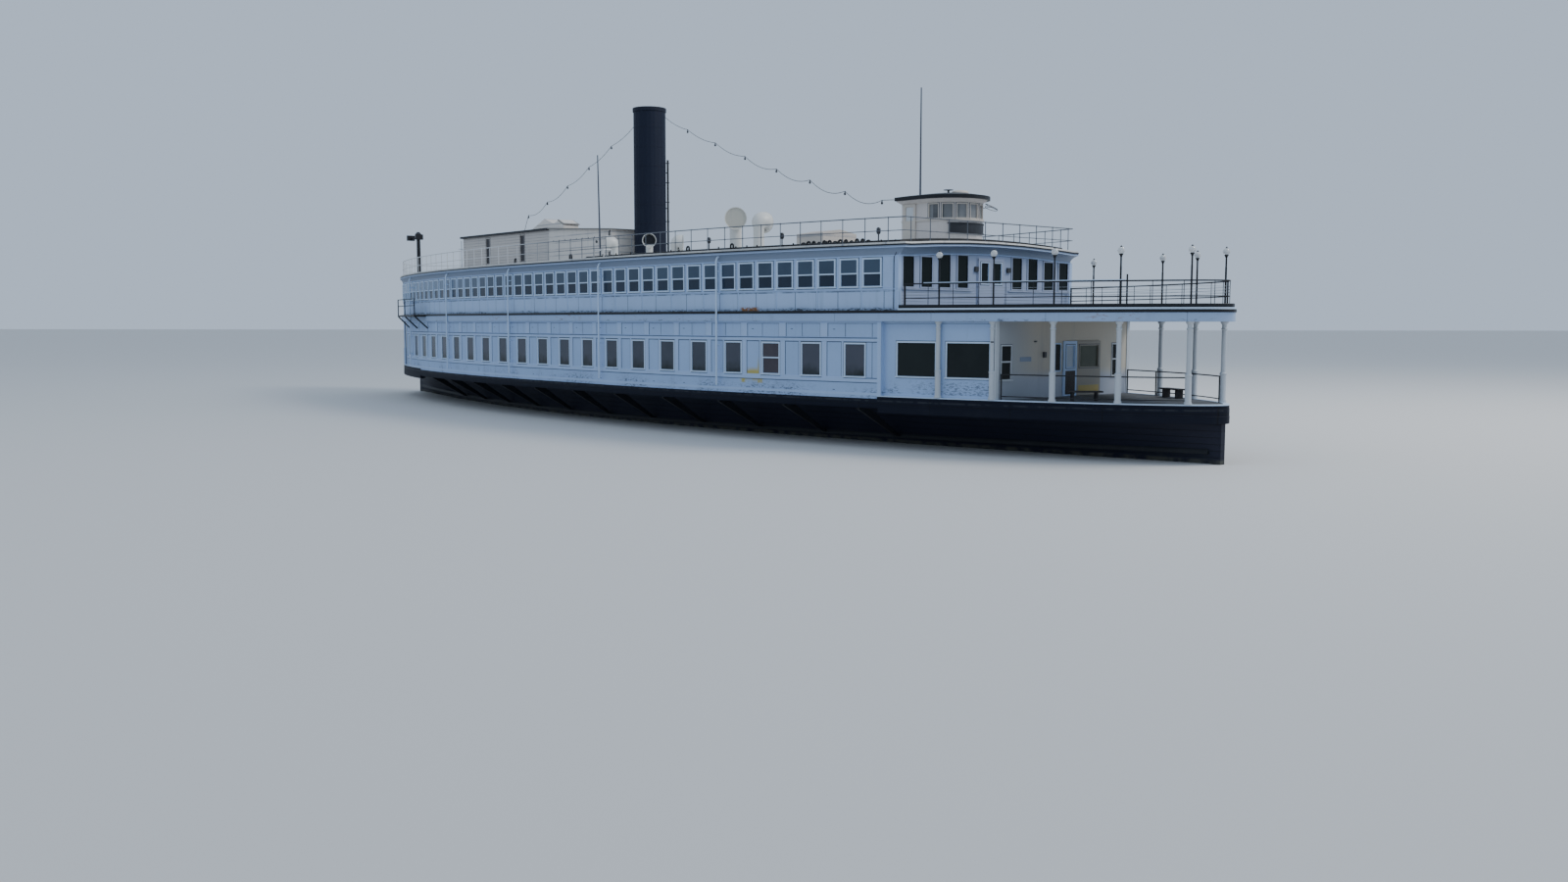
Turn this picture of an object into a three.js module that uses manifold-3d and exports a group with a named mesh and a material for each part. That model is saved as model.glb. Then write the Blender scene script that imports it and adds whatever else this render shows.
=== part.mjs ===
// A double-ended passenger and vehicle ferry with one funnel, as a half-scale model.
// Driving sizes are metres of the full-size ship. +X points to the front end, -Y to the
// right-hand side, +Z up, and z = 0 is the waterline, with the origin amidships.
import * as THREE from "three";
import { mergeVertices } from "three/addons/utils/BufferGeometryUtils.js";
import Module from "manifold-3d";

const wasm = await Module();
wasm.setup();

const modelScale = 1 / 2;
const unit = 1000 * modelScale; // millimetres on the model for one metre of the ship
const gap = 0.0006; // between pieces that touch, 0.3 mm on the model
const swing = 0.014; // between a door leaf and what it passes, 7 mm on the model
const rightAngle = Math.PI / 2;

// The plan of every deck: parallel sides, then ends rounded as a superellipse.
const plan = { halfBeam: 8.35, halfLength: 37, straight: 4.36, fullness: 1.856, roundness: 1.603 };

// Heights above the waterline.
const level = {
  keel: -3.6,
  guardBottom: 1.86,
  mainDeck: 2.42,
  upperDeckBottom: 5.76,
  upperDeck: 6.21,
  roofBottom: 9.0,
  roofTop: 9.14,
};
const planSteps = 14; // corners of a deck's edge from amidships to its tip
const deckOverhang = 0.15;
const wall = { thickness: 0.15, upperInset: 0.05, endInset: 0.25 };
const roof = { overhang: 0.2, front: 0.55, inset: 0.22, camber: 0.25, steps: 12 };

// Stations along the ship.
const upperHouseFront = 24.4;
const lowerHouseEnd = 28.85;
const lowerStep = 23.6;
const postStations = [26.39, 28.83, 31.32, 33.77, 36.05];
const post = { inset: 0.08, radius: 0.085, footRadius: 0.12, footHeight: 1.2 };
const band = { end: 36.2, steps: 8, proud: 0.03, thickness: 0.4, depth: 0.2 };
const strut = { last: 22, pitch: 4.4, foot: 0.35, thickness: 0.16 };

// Windows in the sides: spans run from their front to their rear station.
const upperWindow = { pitch: 1.2346, first: 23.11, width: 0.8, sill: 7.31, head: 8.52 };
const lowerWindow = { pitch: 2.469, first: 22.25, width: 1.05, sill: 3.27, head: 4.72 };
const pictureWindow = { sill: 3.33, head: 4.81, spans: [[28.62, 26.7], [26.15, 24.3]] };
const upperSections = ["front", "rear", "tip"];
const windowsInSection = 20;

// Windows and doors in the walls across the ends: spans run from right to left.
const upperEndWindows = [[-5.83, -5.13], [-4.66, -3.96], [-3.46, -2.76], [-2.27, -1.57],
  [1.57, 2.27], [2.74, 3.44], [3.94, 4.64], [5.11, 5.81]];
const lowerEndWindows = [[-4.36, -3.72], [3.45, 4.09]];
const endWindow = { sill: 7.28, head: 8.62, middleHead: 8.76, middleReach: 4 };
const upperDoor = { half: 0.85, head: 8.62 };
const lowerDoor = { from: -0.15, split: 0.74, to: 2.42, head: 4.83 };
const leafSize = { thickness: 0.06, lap: 0.05, stile: 0.18, sillShare: 0.52, topRail: 0.2 };
const knuckle = { shares: [0.12, 0.82], height: 0.12 };

const hull = {
  halfLength: 36.9,
  halfBeamAtWater: 5.1,
  halfBeamAtTop: 5.75,
  topHalfLength: 37.1,
  waterPowers: [2, 1.15],
  topPowers: [2.4, 0.9],
  fullness: { amidships: 3.5, ends: 1.25, from: 8, to: 32 },
  stemHalfWidth: 0.15,
  flatKeel: 25,
  counterStart: 31,
  counterBottom: -0.45,
};
const well = { length: 9, width: 4, floor: -3.0 };
const engine = { length: 8.4, width: 3.4, height: 2.8 };
const keel = { thickness: 0.4, depth: 0.3, sternpost: 30.6, shoeEnd: 35.3, shoeTop: -3.55 };
const rudder = { stock: 32.9, lead: 32.3, top: -0.56, bottom: -3.44, stockRadius: 0.14 };
const rudderOutline = [[0, 0.04], [0.25, 0.13], [0.6, 0.14], [1.5, 0.09], [2.6, 0.03]];
const propeller = { station: 31.2, axis: -2.0, hubRadius: 0.3, shaftRadius: 0.18, radius: 1.4 };
const blade = { count: 4, pitch: 35, length: 1.24, width: 0.84, thickness: 0.1 };

// Rails as [height above the deck, depth]; the end rail's posts are low, plain or carry a globe.
const mainDeckRailing = {
  inset: 0.27,
  start: 0.25,
  end: 36.0,
  posts: [31.17, 33.62],
  spacing: 1.3,
  rails: [[0.18, 0.04], [1.11, 0.05]],
  postWidth: 0.05,
  railDepth: 0.04,
};
const roofRailing = { inset: 0.1, front: 0.35, pipe: 0.05, rails: [[0.62, 0.05], [1.2, 0.05]] };
const endRailing = {
  inset: 0.1,
  start: 0.22,
  width: 0.07,
  spacing: 1.6,
  rails: [[0.55, 0.04], [1.2, 0.08]],
  postHeight: 1.75,
  lampHeight: 2.255,
  globe: 0.145,
};

// What stands on the decks.
const engineCasing = { rear: -9, front: 3, half: 1.5 };
const funnel = { x: -3.4, radius: 1.0, thickness: 0.06, top: 18.95 };
const sidePipe = { radius: 0.06, away: 0.12, top: 15.8, angle: 0.87, clamps: [1.2, 3.4, 5.6] };
const wheelhouse = {
  rear: 20.3,
  centre: 21.9,
  half: 1.6,
  thickness: 0.1,
  sill: 10.62,
  head: 11.28,
  coveFrom: 11.35,
  top: 11.52,
  cove: 0.22,
  eaves: 0.36,
  rearEaves: 0.16,
};
const wheelhouseDoor = { from: 20.5, to: 21.2, head: 11.28, sill: 10.53, stile: 0.13 };
const wheelhouseWindows = {
  angles: [-75, -50, -25, 0, 25, 50, 75],
  reach: 9,
  rear: [[0.9, 0.3], [-0.3, -0.9]],
};
const mast = { x: 19.97, top: 17.15, radius: 0.06, tipRadius: 0.03 };
const house = {
  rear: -24.9,
  front: -12.43,
  casingFront: -4.75,
  half: 2.0,
  top: 11.85,
  roofTop: 11.99,
  eaves: 0.18,
  thickness: 0.12,
  windows: [[-21.4, -20.75], [-16.4, -15.75]],
  sillHeight: 0.5,
  headDrop: 0.16,
};
const casing = { roofThickness: 0.08, eaves: 0.15, rearTop: 11.9, frontTop: 11.48 };
const skylight = { rear: -14.68, front: -10.63, peak: -12.96, top: 12.63, right: -2.02, left: -0.78 };
const cowlTurn = 0.62;
const cowls = [ // name, x, y, trunk radius, trunk height, mouth radius, heading in degrees
  ["cowl_rear", -2.55, -3.2, 0.22, 0.82, 0.47, -128],
  ["cowl_middle", 1.15, -3.2, 0.2, 0.86, 0.4, -36],
  ["cowl_front", 3.68, -3.2, 0.22, 0.58, 0.46, 50],
  ["cowl_tall_rear", 7.3, -1.6, 0.33, 1.69, 0.6, -38],
  ["cowl_tall_front", 9.22, -1.5, 0.3, 1.46, 0.57, 110],
];
const hatch = { x: 13.1, width: 2.1, breadth: 2.4, height: 1.0, rise: 0.2 };
const pole = { x: -5.3, y: -2.5, lean: 0.2, top: 16.1, radius: 0.06, tipRadius: 0.035 };
const floodlight = { x: -30.4, y: -3.0, height: 3.0, radius: 0.16, topRadius: 0.14, arm: 1.35 };
const landing = { from: 5, to: 7, width: 0.9, top: 6.19, thickness: 0.12, railTop: 7.35, foot: 5.25 };
const bench = { length: 1.5, depth: 0.45, height: 0.42 };
const benches = [["bench_right", 31.7, -2.2, 0.88], ["bench_left", 32.75, 2.70, -0.43]]; // name, x, y, turn

// Finishes as [colour, roughness, metalness].
const finish = {
  white: [0xdfe3e8, 0.55, 0],
  cream: [0xd8d2c4, 0.6, 0],
  black: [0x17181b, 0.6, 0.1],
  steel: [0x8b8f92, 0.45, 0.6],
  bronze: [0x9a7b3c, 0.4, 0.8],
  wood: [0x4a3a30, 0.7, 0],
};

// Outer faces of the walls across the ends.
const upperEndFace = upperHouseFront + gap + wall.thickness;
const lowerEndFace = lowerHouseEnd + gap + wall.thickness;

const object = new THREE.Group();

// Half the breadth of the plan at a station, grown or shrunk by an offset.
function halfAt(x, offset = 0) {
  const t = (Math.abs(x) - plan.straight) / (plan.halfLength + offset - plan.straight);
  if (t <= 0) return plan.halfBeam + offset;
  if (t >= 1) return 0;
  return (plan.halfBeam + offset) * (1 - t ** plan.fullness) ** (1 / plan.roundness);
}

// A point of the plan by its angle, 0 where the curve starts and a right angle at the tip.
function planPoint(angle, offset) {
  const along = Math.sin(angle) ** (2 / plan.fullness);
  const across = Math.max(Math.cos(angle), 0) ** (2 / plan.roundness);
  const x = plan.straight + (plan.halfLength + offset - plan.straight) * along;
  return [x, angle >= rightAngle ? 0 : (plan.halfBeam + offset) * across];
}

function planAngle(x, offset = 0) {
  const t = (Math.abs(x) - plan.straight) / (plan.halfLength + offset - plan.straight);
  return Math.asin(Math.min(Math.max(t, 0), 1) ** (plan.fullness / 2));
}

// A closed body from loose quads and triangles: shared vertices are merged, empty
// triangles dropped, and the faces turned outwards.
function closedBody(faces) {
  const vertices = [];
  const indexOf = new Map();
  const triangles = [];
  const vertex = (p) => {
    const key = p.map((c) => Math.round(c * 1e5)).join(" ");
    if (!indexOf.has(key)) {
      indexOf.set(key, vertices.length);
      vertices.push(p);
    }
    return indexOf.get(key);
  };
  for (const face of faces) {
    const ids = face.map(vertex);
    for (let k = 1; k + 1 < ids.length; k += 1) {
      const [a, b, c] = [ids[0], ids[k], ids[k + 1]];
      if (a !== b && b !== c && c !== a) triangles.push([a, b, c]);
    }
  }
  const v = triangles.map((t) => t.map((id) => new THREE.Vector3(...vertices[id])));
  const volume = v.reduce((sum, [a, b, c]) => sum + a.dot(b.clone().cross(c)), 0);
  if (volume < 0) triangles.forEach((t) => t.reverse());
  const geometry = new THREE.BufferGeometry();
  geometry.setAttribute("position", new THREE.Float32BufferAttribute(vertices.flat(), 3));
  geometry.setIndex(triangles.flat());
  return geometry;
}

function toSolid(geometry) {
  const plain = geometry.clone();
  plain.deleteAttribute("normal");
  plain.deleteAttribute("uv");
  const merged = mergeVertices(plain, 1e-5);
  return new wasm.Manifold(new wasm.Mesh({
    numProp: 3,
    vertProperties: new Float32Array(merged.attributes.position.array),
    triVerts: new Uint32Array(merged.index.array),
  }));
}

function toGeometry(solid) {
  const mesh = solid.getMesh();
  const geometry = new THREE.BufferGeometry();
  geometry.setAttribute("position", new THREE.Float32BufferAttribute(mesh.vertProperties, 3));
  geometry.setIndex([...mesh.triVerts]);
  return geometry;
}

function join(...geometries) {
  return toGeometry(geometries.map(toSolid).reduce((sum, solid) => sum.add(solid)));
}

function cut(geometry, ...tools) {
  return toGeometry(tools.map(toSolid).reduce((rest, tool) => rest.subtract(tool), toSolid(geometry)));
}

function box(x0, x1, y0, y1, z0, z1) {
  const geometry = new THREE.BoxGeometry(x1 - x0, y1 - y0, z1 - z0);
  return geometry.translate((x0 + x1) / 2, (y0 + y1) / 2, (z0 + z1) / 2);
}

function upright(radius, z0, z1, sides = 8, topRadius = radius) {
  const geometry = new THREE.CylinderGeometry(topRadius, radius, z1 - z0, sides);
  return geometry.rotateX(rightAngle).translate(0, 0, (z0 + z1) / 2);
}

function plate(points, z0, z1) {
  const shape = new THREE.Shape(points.map(([x, y]) => new THREE.Vector2(x, y)));
  const geometry = new THREE.ExtrudeGeometry(shape, { depth: z1 - z0, bevelEnabled: false });
  return geometry.translate(0, 0, z0);
}

// A profile in x and z, pushed out to each side of the centreline.
function sidePlate(points, thickness) {
  return plate(points, -thickness / 2, thickness / 2).rotateX(rightAngle);
}

// A tube through centres with a radius at each, closed at both ends.
function taperTube(centres, radii, sides) {
  const path = centres.map((c) => new THREE.Vector3(...c));
  const rings = path.map((p, i) => {
    const before = path[Math.max(i - 1, 0)];
    const after = path[Math.min(i + 1, path.length - 1)];
    const along = after.clone().sub(before).normalize();
    const ref = Math.abs(along.y) > 0.9 ? new THREE.Vector3(1, 0, 0) : new THREE.Vector3(0, 1, 0);
    const u = new THREE.Vector3().crossVectors(ref, along).normalize();
    const v = new THREE.Vector3().crossVectors(along, u);
    return Array.from({ length: sides }, (_, k) => {
      const a = (2 * Math.PI * k) / sides;
      const out = u.clone().multiplyScalar(Math.cos(a)).addScaledVector(v, Math.sin(a));
      return p.clone().addScaledVector(out, radii[i]).toArray();
    });
  });
  return loft(rings);
}

// Faces between neighbouring rings of points.
function ringFaces(rings) {
  return rings.slice(1).flatMap((ring, i) => ring.map((_, k) => {
    const next = (k + 1) % ring.length;
    return [rings[i][k], rings[i][next], ring[next], ring[k]];
  }));
}

// Rings of points joined in order, with flat ends.
function loft(rings) {
  return closedBody([...ringFaces(rings), [...rings[0]].reverse(), rings[rings.length - 1]]);
}

// A wall of cells between stations and heights. Each station has an outer and an inner
// point at every height, and the cells that are open are left out as windows or gaps.
function latticeWall(stations, heights, isOpen, isLoop = false) {
  const faces = [];
  const columns = isLoop ? stations.length : stations.length - 1;
  const rows = heights.length - 1;
  const at = (i, j, side) => stations[i % stations.length](heights[j], j)[side];
  const filled = (i, j) => {
    if (j < 0 || j >= rows) return false;
    if (isLoop) return !isOpen((i + columns) % columns, j);
    return i >= 0 && i < columns && !isOpen(i, j);
  };
  for (let i = 0; i < columns; i += 1) {
    for (let j = 0; j < rows; j += 1) {
      if (!filled(i, j)) continue;
      const [oa, ob, oc, od] = [at(i, j, 0), at(i + 1, j, 0), at(i + 1, j + 1, 0), at(i, j + 1, 0)];
      const [ia, ib, ic, id] = [at(i, j, 1), at(i + 1, j, 1), at(i + 1, j + 1, 1), at(i, j + 1, 1)];
      faces.push([oa, ob, oc, od], [ia, id, ic, ib]);
      if (!filled(i, j - 1)) faces.push([oa, ia, ib, ob]);
      if (!filled(i, j + 1)) faces.push([od, oc, ic, id]);
      if (!filled(i - 1, j)) faces.push([oa, od, id, ia]);
      if (!filled(i + 1, j)) faces.push([ob, ib, ic, oc]);
    }
  }
  return closedBody(faces);
}

function add(name, geometry, look, place = [0, 0, 0]) {
  const [color, roughness, metalness] = finish[look];
  const material = new THREE.MeshStandardMaterial({ color, roughness, metalness });
  const mesh = new THREE.Mesh(geometry.clone().scale(unit, unit, unit), material);
  mesh.name = name;
  mesh.position.set(...place.map((c) => c * unit));
  object.add(mesh);
}

// A station of a wall on the plan, on the right side for side -1 and the left for 1.
function planStation(side, x, offset, thickness, innerX = x) {
  const round = Math.abs(x) > lowerHouseEnd;
  const angle = planAngle(x);
  const point = (out, atX) => {
    if (!round) return [atX, side * halfAt(atX, out)];
    const [px, py] = planPoint(angle, out);
    return [Math.sign(x) * px, side * py];
  };
  return (z) => [[...point(offset, x), z], [...point(offset - thickness, innerX), z]];
}

// Hull: keel line, half breadth at the water and at the top, and fullness of the sections.
function keelLine(x) {
  const t = (Math.abs(x) - hull.flatKeel) / (hull.counterStart - hull.flatKeel);
  const s = THREE.MathUtils.smoothstep(t, 0, 1);
  return level.keel + (hull.counterBottom - level.keel) * s;
}

function hullHalf(x, z) {
  const a = Math.abs(x);
  const curve = (half, length, [along, across]) => (
    Math.max(half * Math.max(1 - (a / length) ** along, 0) ** across, hull.stemHalfWidth));
  const atWater = curve(hull.halfBeamAtWater, hull.halfLength, hull.waterPowers);
  const atTop = curve(hull.halfBeamAtTop, hull.topHalfLength, hull.topPowers);
  if (z >= 0) return atWater + ((atTop - atWater) * z) / level.guardBottom;
  const depth = Math.min(z / keelLine(x), 1);
  const { amidships, ends, from, to } = hull.fullness;
  const power = THREE.MathUtils.lerp(amidships, ends, THREE.MathUtils.smoothstep(a, from, to));
  return atWater * (1 - depth ** power) ** 0.5;
}

const hullStations = [-36.9, -35.5, -34, -32.5, -31, -30.6, -30, -29, -28, -27, -26, -25, -22.5, -20,
  -17, -14, -10, -5, 0];
const allHullStations = [...hullStations, ...hullStations.slice(0, -1).reverse().map((x) => -x)];

function hullBody() {
  const below = [1, 0.96, 0.87, 0.7, 0.48, 0.24, 0];
  const rings = allHullStations.map((x) => {
    const bottom = keelLine(x);
    const heights = [...below.map((f) => f * bottom), level.guardBottom - gap];
    const right = heights.map((z) => [x, -Math.max(hullHalf(x, z), z === bottom ? 0.02 : 0), z]);
    const left = [...right].reverse().map(([px, py, pz]) => [px, -py, pz]);
    return [...right, ...left];
  });
  const hollow = box(-well.length / 2, well.length / 2, -well.width / 2, well.width / 2, well.floor, 3);
  return cut(loft(rings), hollow);
}

function keelBody() {
  const bottom = level.keel - keel.depth;
  const top = allHullStations.filter((x) => Math.abs(x) < keel.sternpost);
  const end = keel.sternpost;
  const line = [end, ...top.reverse(), -end].map((x) => [x, keelLine(x) - gap]);
  return sidePlate([[-keel.shoeEnd, bottom], [keel.shoeEnd, bottom], [keel.shoeEnd, keel.shoeTop],
    [end, keel.shoeTop], ...line, [-end, keel.shoeTop], [-keel.shoeEnd, keel.shoeTop]], keel.thickness);
}

function rudderBody() {
  const shape = [...rudderOutline, ...[...rudderOutline].reverse().map(([x, y]) => [x, -y])];
  const vane = plate(shape.map(([x, y]) => [x + rudder.lead - rudder.stock, y]), rudder.bottom, rudder.top);
  const stock = upright(rudder.stockRadius, keel.shoeTop + gap, hull.counterBottom - gap, 10);
  return join(vane, stock);
}

function propellerBody() {
  const { hubRadius: r, shaftRadius } = propeller;
  const bearing = keel.sternpost + gap - propeller.station;
  const profile = [[0, bearing], [shaftRadius, bearing], [shaftRadius, -0.45], [r, -0.4], [r, 0.2],
    [0.16, 0.42], [0, 0.5]];
  const hub = new THREE.LatheGeometry(profile.map(([radius, h]) => new THREE.Vector2(radius, h)), 12)
    .rotateZ(-rightAngle);
  const oval = new THREE.SphereGeometry(1, 8, 5)
    .scale(blade.thickness / 2, blade.width / 2, blade.length / 2)
    .translate(0, 0, propeller.radius - blade.length / 2);
  const twist = THREE.MathUtils.degToRad(blade.pitch);
  const blades = Array.from({ length: blade.count }, (_, k) => (
    oval.clone().rotateZ(twist).rotateX((2 * Math.PI * k) / blade.count)));
  return join(hub, ...blades);
}

// The closed plan of a deck, grown or shrunk by an offset.
function planLoop(offset) {
  const quarter = Array.from({ length: planSteps + 1 }, (_, k) => (
    planPoint((rightAngle * k) / planSteps, offset)));
  const front = [...quarter.map(([x, y]) => [x, -y]), ...quarter.slice(0, -1).reverse()];
  return [...front, ...front.map(([x, y]) => [-x, -y])];
}

function mainDeck() {
  const slab = plate(planLoop(0), level.guardBottom, level.mainDeck);
  const first = planAngle(lowerStep);
  const last = planAngle(band.end);
  const bands = [[-1, -1], [-1, 1], [1, -1], [1, 1]].map(([end, side]) => {
    const stations = Array.from({ length: band.steps + 1 }, (_, k) => {
      const angle = first + ((last - first) * k) / band.steps;
      const [ox, oy] = planPoint(angle, band.proud);
      const [ix, iy] = planPoint(angle, band.proud - band.thickness);
      return (z) => [[end * ox, side * oy, z], [end * ix, side * iy, z]];
    });
    return latticeWall(stations, [level.guardBottom - band.depth, level.guardBottom + 0.1], () => false);
  });
  const struts = [];
  for (let x = -strut.last; x < strut.last + strut.pitch / 2; x += strut.pitch) {
    const inner = Math.max(hullHalf(x - 0.1, strut.foot), hullHalf(x + 0.1, strut.foot)) + 0.02;
    const outer = halfAt(x) - 0.5;
    const shape = [[inner, strut.foot], [inner + 0.25, strut.foot], [outer, level.guardBottom - 0.12],
      [outer, level.guardBottom + 0.1], [outer - 0.4, level.guardBottom + 0.1]];
    for (const side of [-1, 1]) {
      struts.push(sidePlate(shape.map(([y, z]) => [side * y, z]), strut.thickness)
        .rotateZ(rightAngle).translate(x, 0, 0));
    }
  }
  return join(slab, ...bands, ...struts);
}

// The side of the lower house: large windows in its narrower front part, then a row of tall ones.
function lowerWall(side) {
  const { pitch, width } = lowerWindow;
  const tall = [];
  for (let x = lowerWindow.first; x > -lowerHouseEnd + 1.2; x -= pitch) {
    tall.push([x + width / 2, x - width / 2]);
  }
  const rows = [
    { offset: -wall.endInset, sill: pictureWindow.sill, head: pictureWindow.head, from: lowerHouseEnd,
      to: lowerStep, spans: pictureWindow.spans },
    { offset: 0, sill: lowerWindow.sill, head: lowerWindow.head, from: lowerStep,
      to: -lowerHouseEnd, spans: tall },
  ];
  const stations = [];
  const isWindow = [];
  for (const { offset, sill, head, from, to, spans } of rows) {
    for (const x of [from, ...spans.flat(), to]) {
      const innerX = x === lowerStep ? x - wall.thickness : x;
      const atHeight = planStation(side, x, offset, wall.thickness, innerX);
      stations.push((z, row) => atHeight([z, sill, head, z][row]));
      isWindow.push(spans.some(([start]) => start === x));
    }
  }
  const heights = [level.mainDeck + gap, lowerWindow.sill, lowerWindow.head, level.upperDeckBottom - gap];
  return latticeWall(stations, heights, (i, j) => isWindow[i] && j === 1);
}

// The upper wall in sections from the front: two long ones, then the rounded rear end.
function upperWall(side) {
  const heights = [level.upperDeck + gap, upperWindow.sill, upperWindow.head, level.roofBottom - gap];
  const half = upperWindow.width / 2;
  const sections = [[]];
  const push = (x, isWindow) => {
    const point = planStation(side, x, -wall.upperInset, wall.thickness);
    sections[sections.length - 1].push({ point, isWindow });
  };
  push(upperHouseFront, false);
  let x = upperWindow.first;
  for (let count = 1; x > -26; count += 1) {
    push(x + half, true);
    push(x - half, false);
    x -= upperWindow.pitch;
    if (count % windowsInSection === 0) {
      push(x + upperWindow.pitch / 2 + gap / 2, false);
      sections.push([]);
      push(x + upperWindow.pitch / 2 - gap / 2, false);
    }
  }
  // Round the end the windows keep their pitch along the wall, not along the ship.
  const steps = 400;
  const startAngle = planAngle(x + upperWindow.pitch - half);
  const pier = upperWindow.pitch - upperWindow.width;
  let travelled = 0;
  let mark = pier;
  let isWindow = true;
  let last = planPoint(startAngle, 0);
  for (let k = 1; k <= steps; k += 1) {
    const next = planPoint(startAngle + ((rightAngle - startAngle) * k) / steps, 0);
    travelled += Math.hypot(next[0] - last[0], next[1] - last[1]);
    last = next;
    if (travelled >= mark && next[1] > 0.5) {
      push(-next[0], isWindow);
      mark += isWindow ? upperWindow.width : pier;
      isWindow = !isWindow;
    }
  }
  const tip = sections[sections.length - 1];
  tip[tip.length - 1].isWindow = false;
  const outer = plan.halfLength - wall.upperInset;
  const middle = (z) => [[-outer, side * gap, z], [-outer + wall.thickness, side * gap, z]];
  tip.push({ point: middle, isWindow: false });
  return sections.map((stations) => (
    latticeWall(stations.map(({ point }) => point), heights, (i, j) => stations[i].isWindow && j === 1)));
}

// A flat wall across the ship with openings as [y from, y to, open rows].
function crossWall(face, halfWidth, openings, heights) {
  const breaks = [...new Set([-halfWidth, halfWidth, ...openings.flatMap(([a, b]) => [a, b])])]
    .sort((a, b) => a - b);
  const stations = breaks.map((y) => (z) => [[face, y, z], [face - wall.thickness, y, z]]);
  return latticeWall(stations, heights, (i, j) => {
    const middle = (breaks[i] + breaks[i + 1]) / 2;
    return openings.some(([a, b, rows]) => middle > a && middle < b && rows.includes(j));
  });
}

function upperDeck() {
  const slab = plate(planLoop(deckOverhang), level.upperDeckBottom, level.upperDeck);
  const waist = level.mainDeck + post.footHeight;
  const posts = [];
  for (const end of [-1, 1]) {
    for (const x of end > 0 ? postStations : postStations.slice(2)) {
      for (const side of [-1, 1]) {
        const y = side * halfAt(x, -post.inset);
        const shaft = upright(post.radius, waist, level.upperDeckBottom + 0.1, 6);
        const foot = upright(post.footRadius, level.mainDeck + gap, waist + 0.05, 6);
        posts.push(shaft.translate(end * x, y, 0), foot.translate(end * x, y, 0));
      }
    }
  }
  return join(slab, ...posts);
}

// Rise of the cambered roof above its edge, for a share of the half breadth inside the walls.
function camberAt(share, half) {
  return roof.camber * Math.max(1 - share ** 2, 0) * (half / plan.halfBeam) ** 0.5;
}

// The roof in rings across the ship, from its front edge to its rear tip. Each ring is the
// cambered line of the top and, in reverse, the same line on the underside.
function roofBody() {
  const across = [1, 0.7, 0.35, 0, -0.35, -0.7, -1];
  const ring = ([outerX, outerY], [innerX, innerY]) => {
    const inner = across.map((share) => [innerX, share * innerY, camberAt(share, innerY)]);
    const line = [[outerX, outerY, 0], ...inner, [outerX, -outerY, 0]];
    const top = line.map(([x, y, z]) => [x, y, z + level.roofTop]);
    const bottom = [...line].reverse().map(([x, y, z]) => [x, y, z + level.roofBottom]);
    return [...top, ...bottom];
  };
  const offsets = [roof.overhang, -roof.inset];
  const atStation = (x) => ring(...offsets.map((offset) => [x, halfAt(x, offset)]));
  const atAngle = (angle) => ring(...offsets.map((offset) => {
    const [x, y] = planPoint(angle, offset);
    return [-x, y];
  }));
  const straight = [0.75, 0.5, 0.25, 0].map((t) => THREE.MathUtils.lerp(plan.straight, upperHouseFront, t));
  const angles = Array.from({ length: roof.steps }, (_, k) => (rightAngle * (k + 1)) / roof.steps);
  const rings = [
    ...[upperHouseFront + roof.front, ...straight, -plan.straight].map(atStation),
    ...angles.map(atAngle),
  ];
  const front = rings[0];
  const edge = Array.from({ length: front.length / 2 - 1 }, (_, k) => (
    [front[k], front[front.length - 1 - k], front[front.length - 2 - k], front[k + 1]]));
  return closedBody([...ringFaces(rings), ...edge]);
}

// Height of the roof's upper surface at a point, found on the facet above that point.
const roofFacets = (() => {
  const geometry = roofBody();
  const corner = (id) => new THREE.Vector3().fromBufferAttribute(geometry.attributes.position, id);
  const ids = [...geometry.index.array];
  return Array.from({ length: ids.length / 3 }, (_, k) => ids.slice(3 * k, 3 * k + 3).map(corner));
})();

function roofTopAt(x, y) {
  const flat = new THREE.Vector3(x, y, 0);
  const heights = roofFacets.map((corners) => {
    const shadow = corners.map((c) => c.clone().setZ(0));
    const share = THREE.Triangle.getBarycoord(flat, ...shadow, new THREE.Vector3());
    if (!share || Math.min(share.x, share.y, share.z) < -1e-6) return level.roofTop;
    return corners[0].z * share.x + corners[1].z * share.y + corners[2].z * share.z;
  });
  return Math.max(...heights);
}

// Where a flat base rests on the roof, with the small gap: round, or a box of half sizes.
function seatRound(x, y, radius, sides = 24) {
  const spots = Array.from({ length: sides }, (_, k) => {
    const a = (2 * Math.PI * k) / sides;
    return roofTopAt(x + radius * Math.cos(a), y + radius * Math.sin(a));
  });
  return Math.max(roofTopAt(x, y), ...spots) + gap;
}

function seatBox(x, y, reachX, reachY) {
  const shares = [-1, -0.5, 0, 0.5, 1];
  const spots = shares.flatMap((i) => shares.map((j) => roofTopAt(x + i * reachX, y + j * reachY)));
  return Math.max(...spots) + gap;
}

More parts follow.
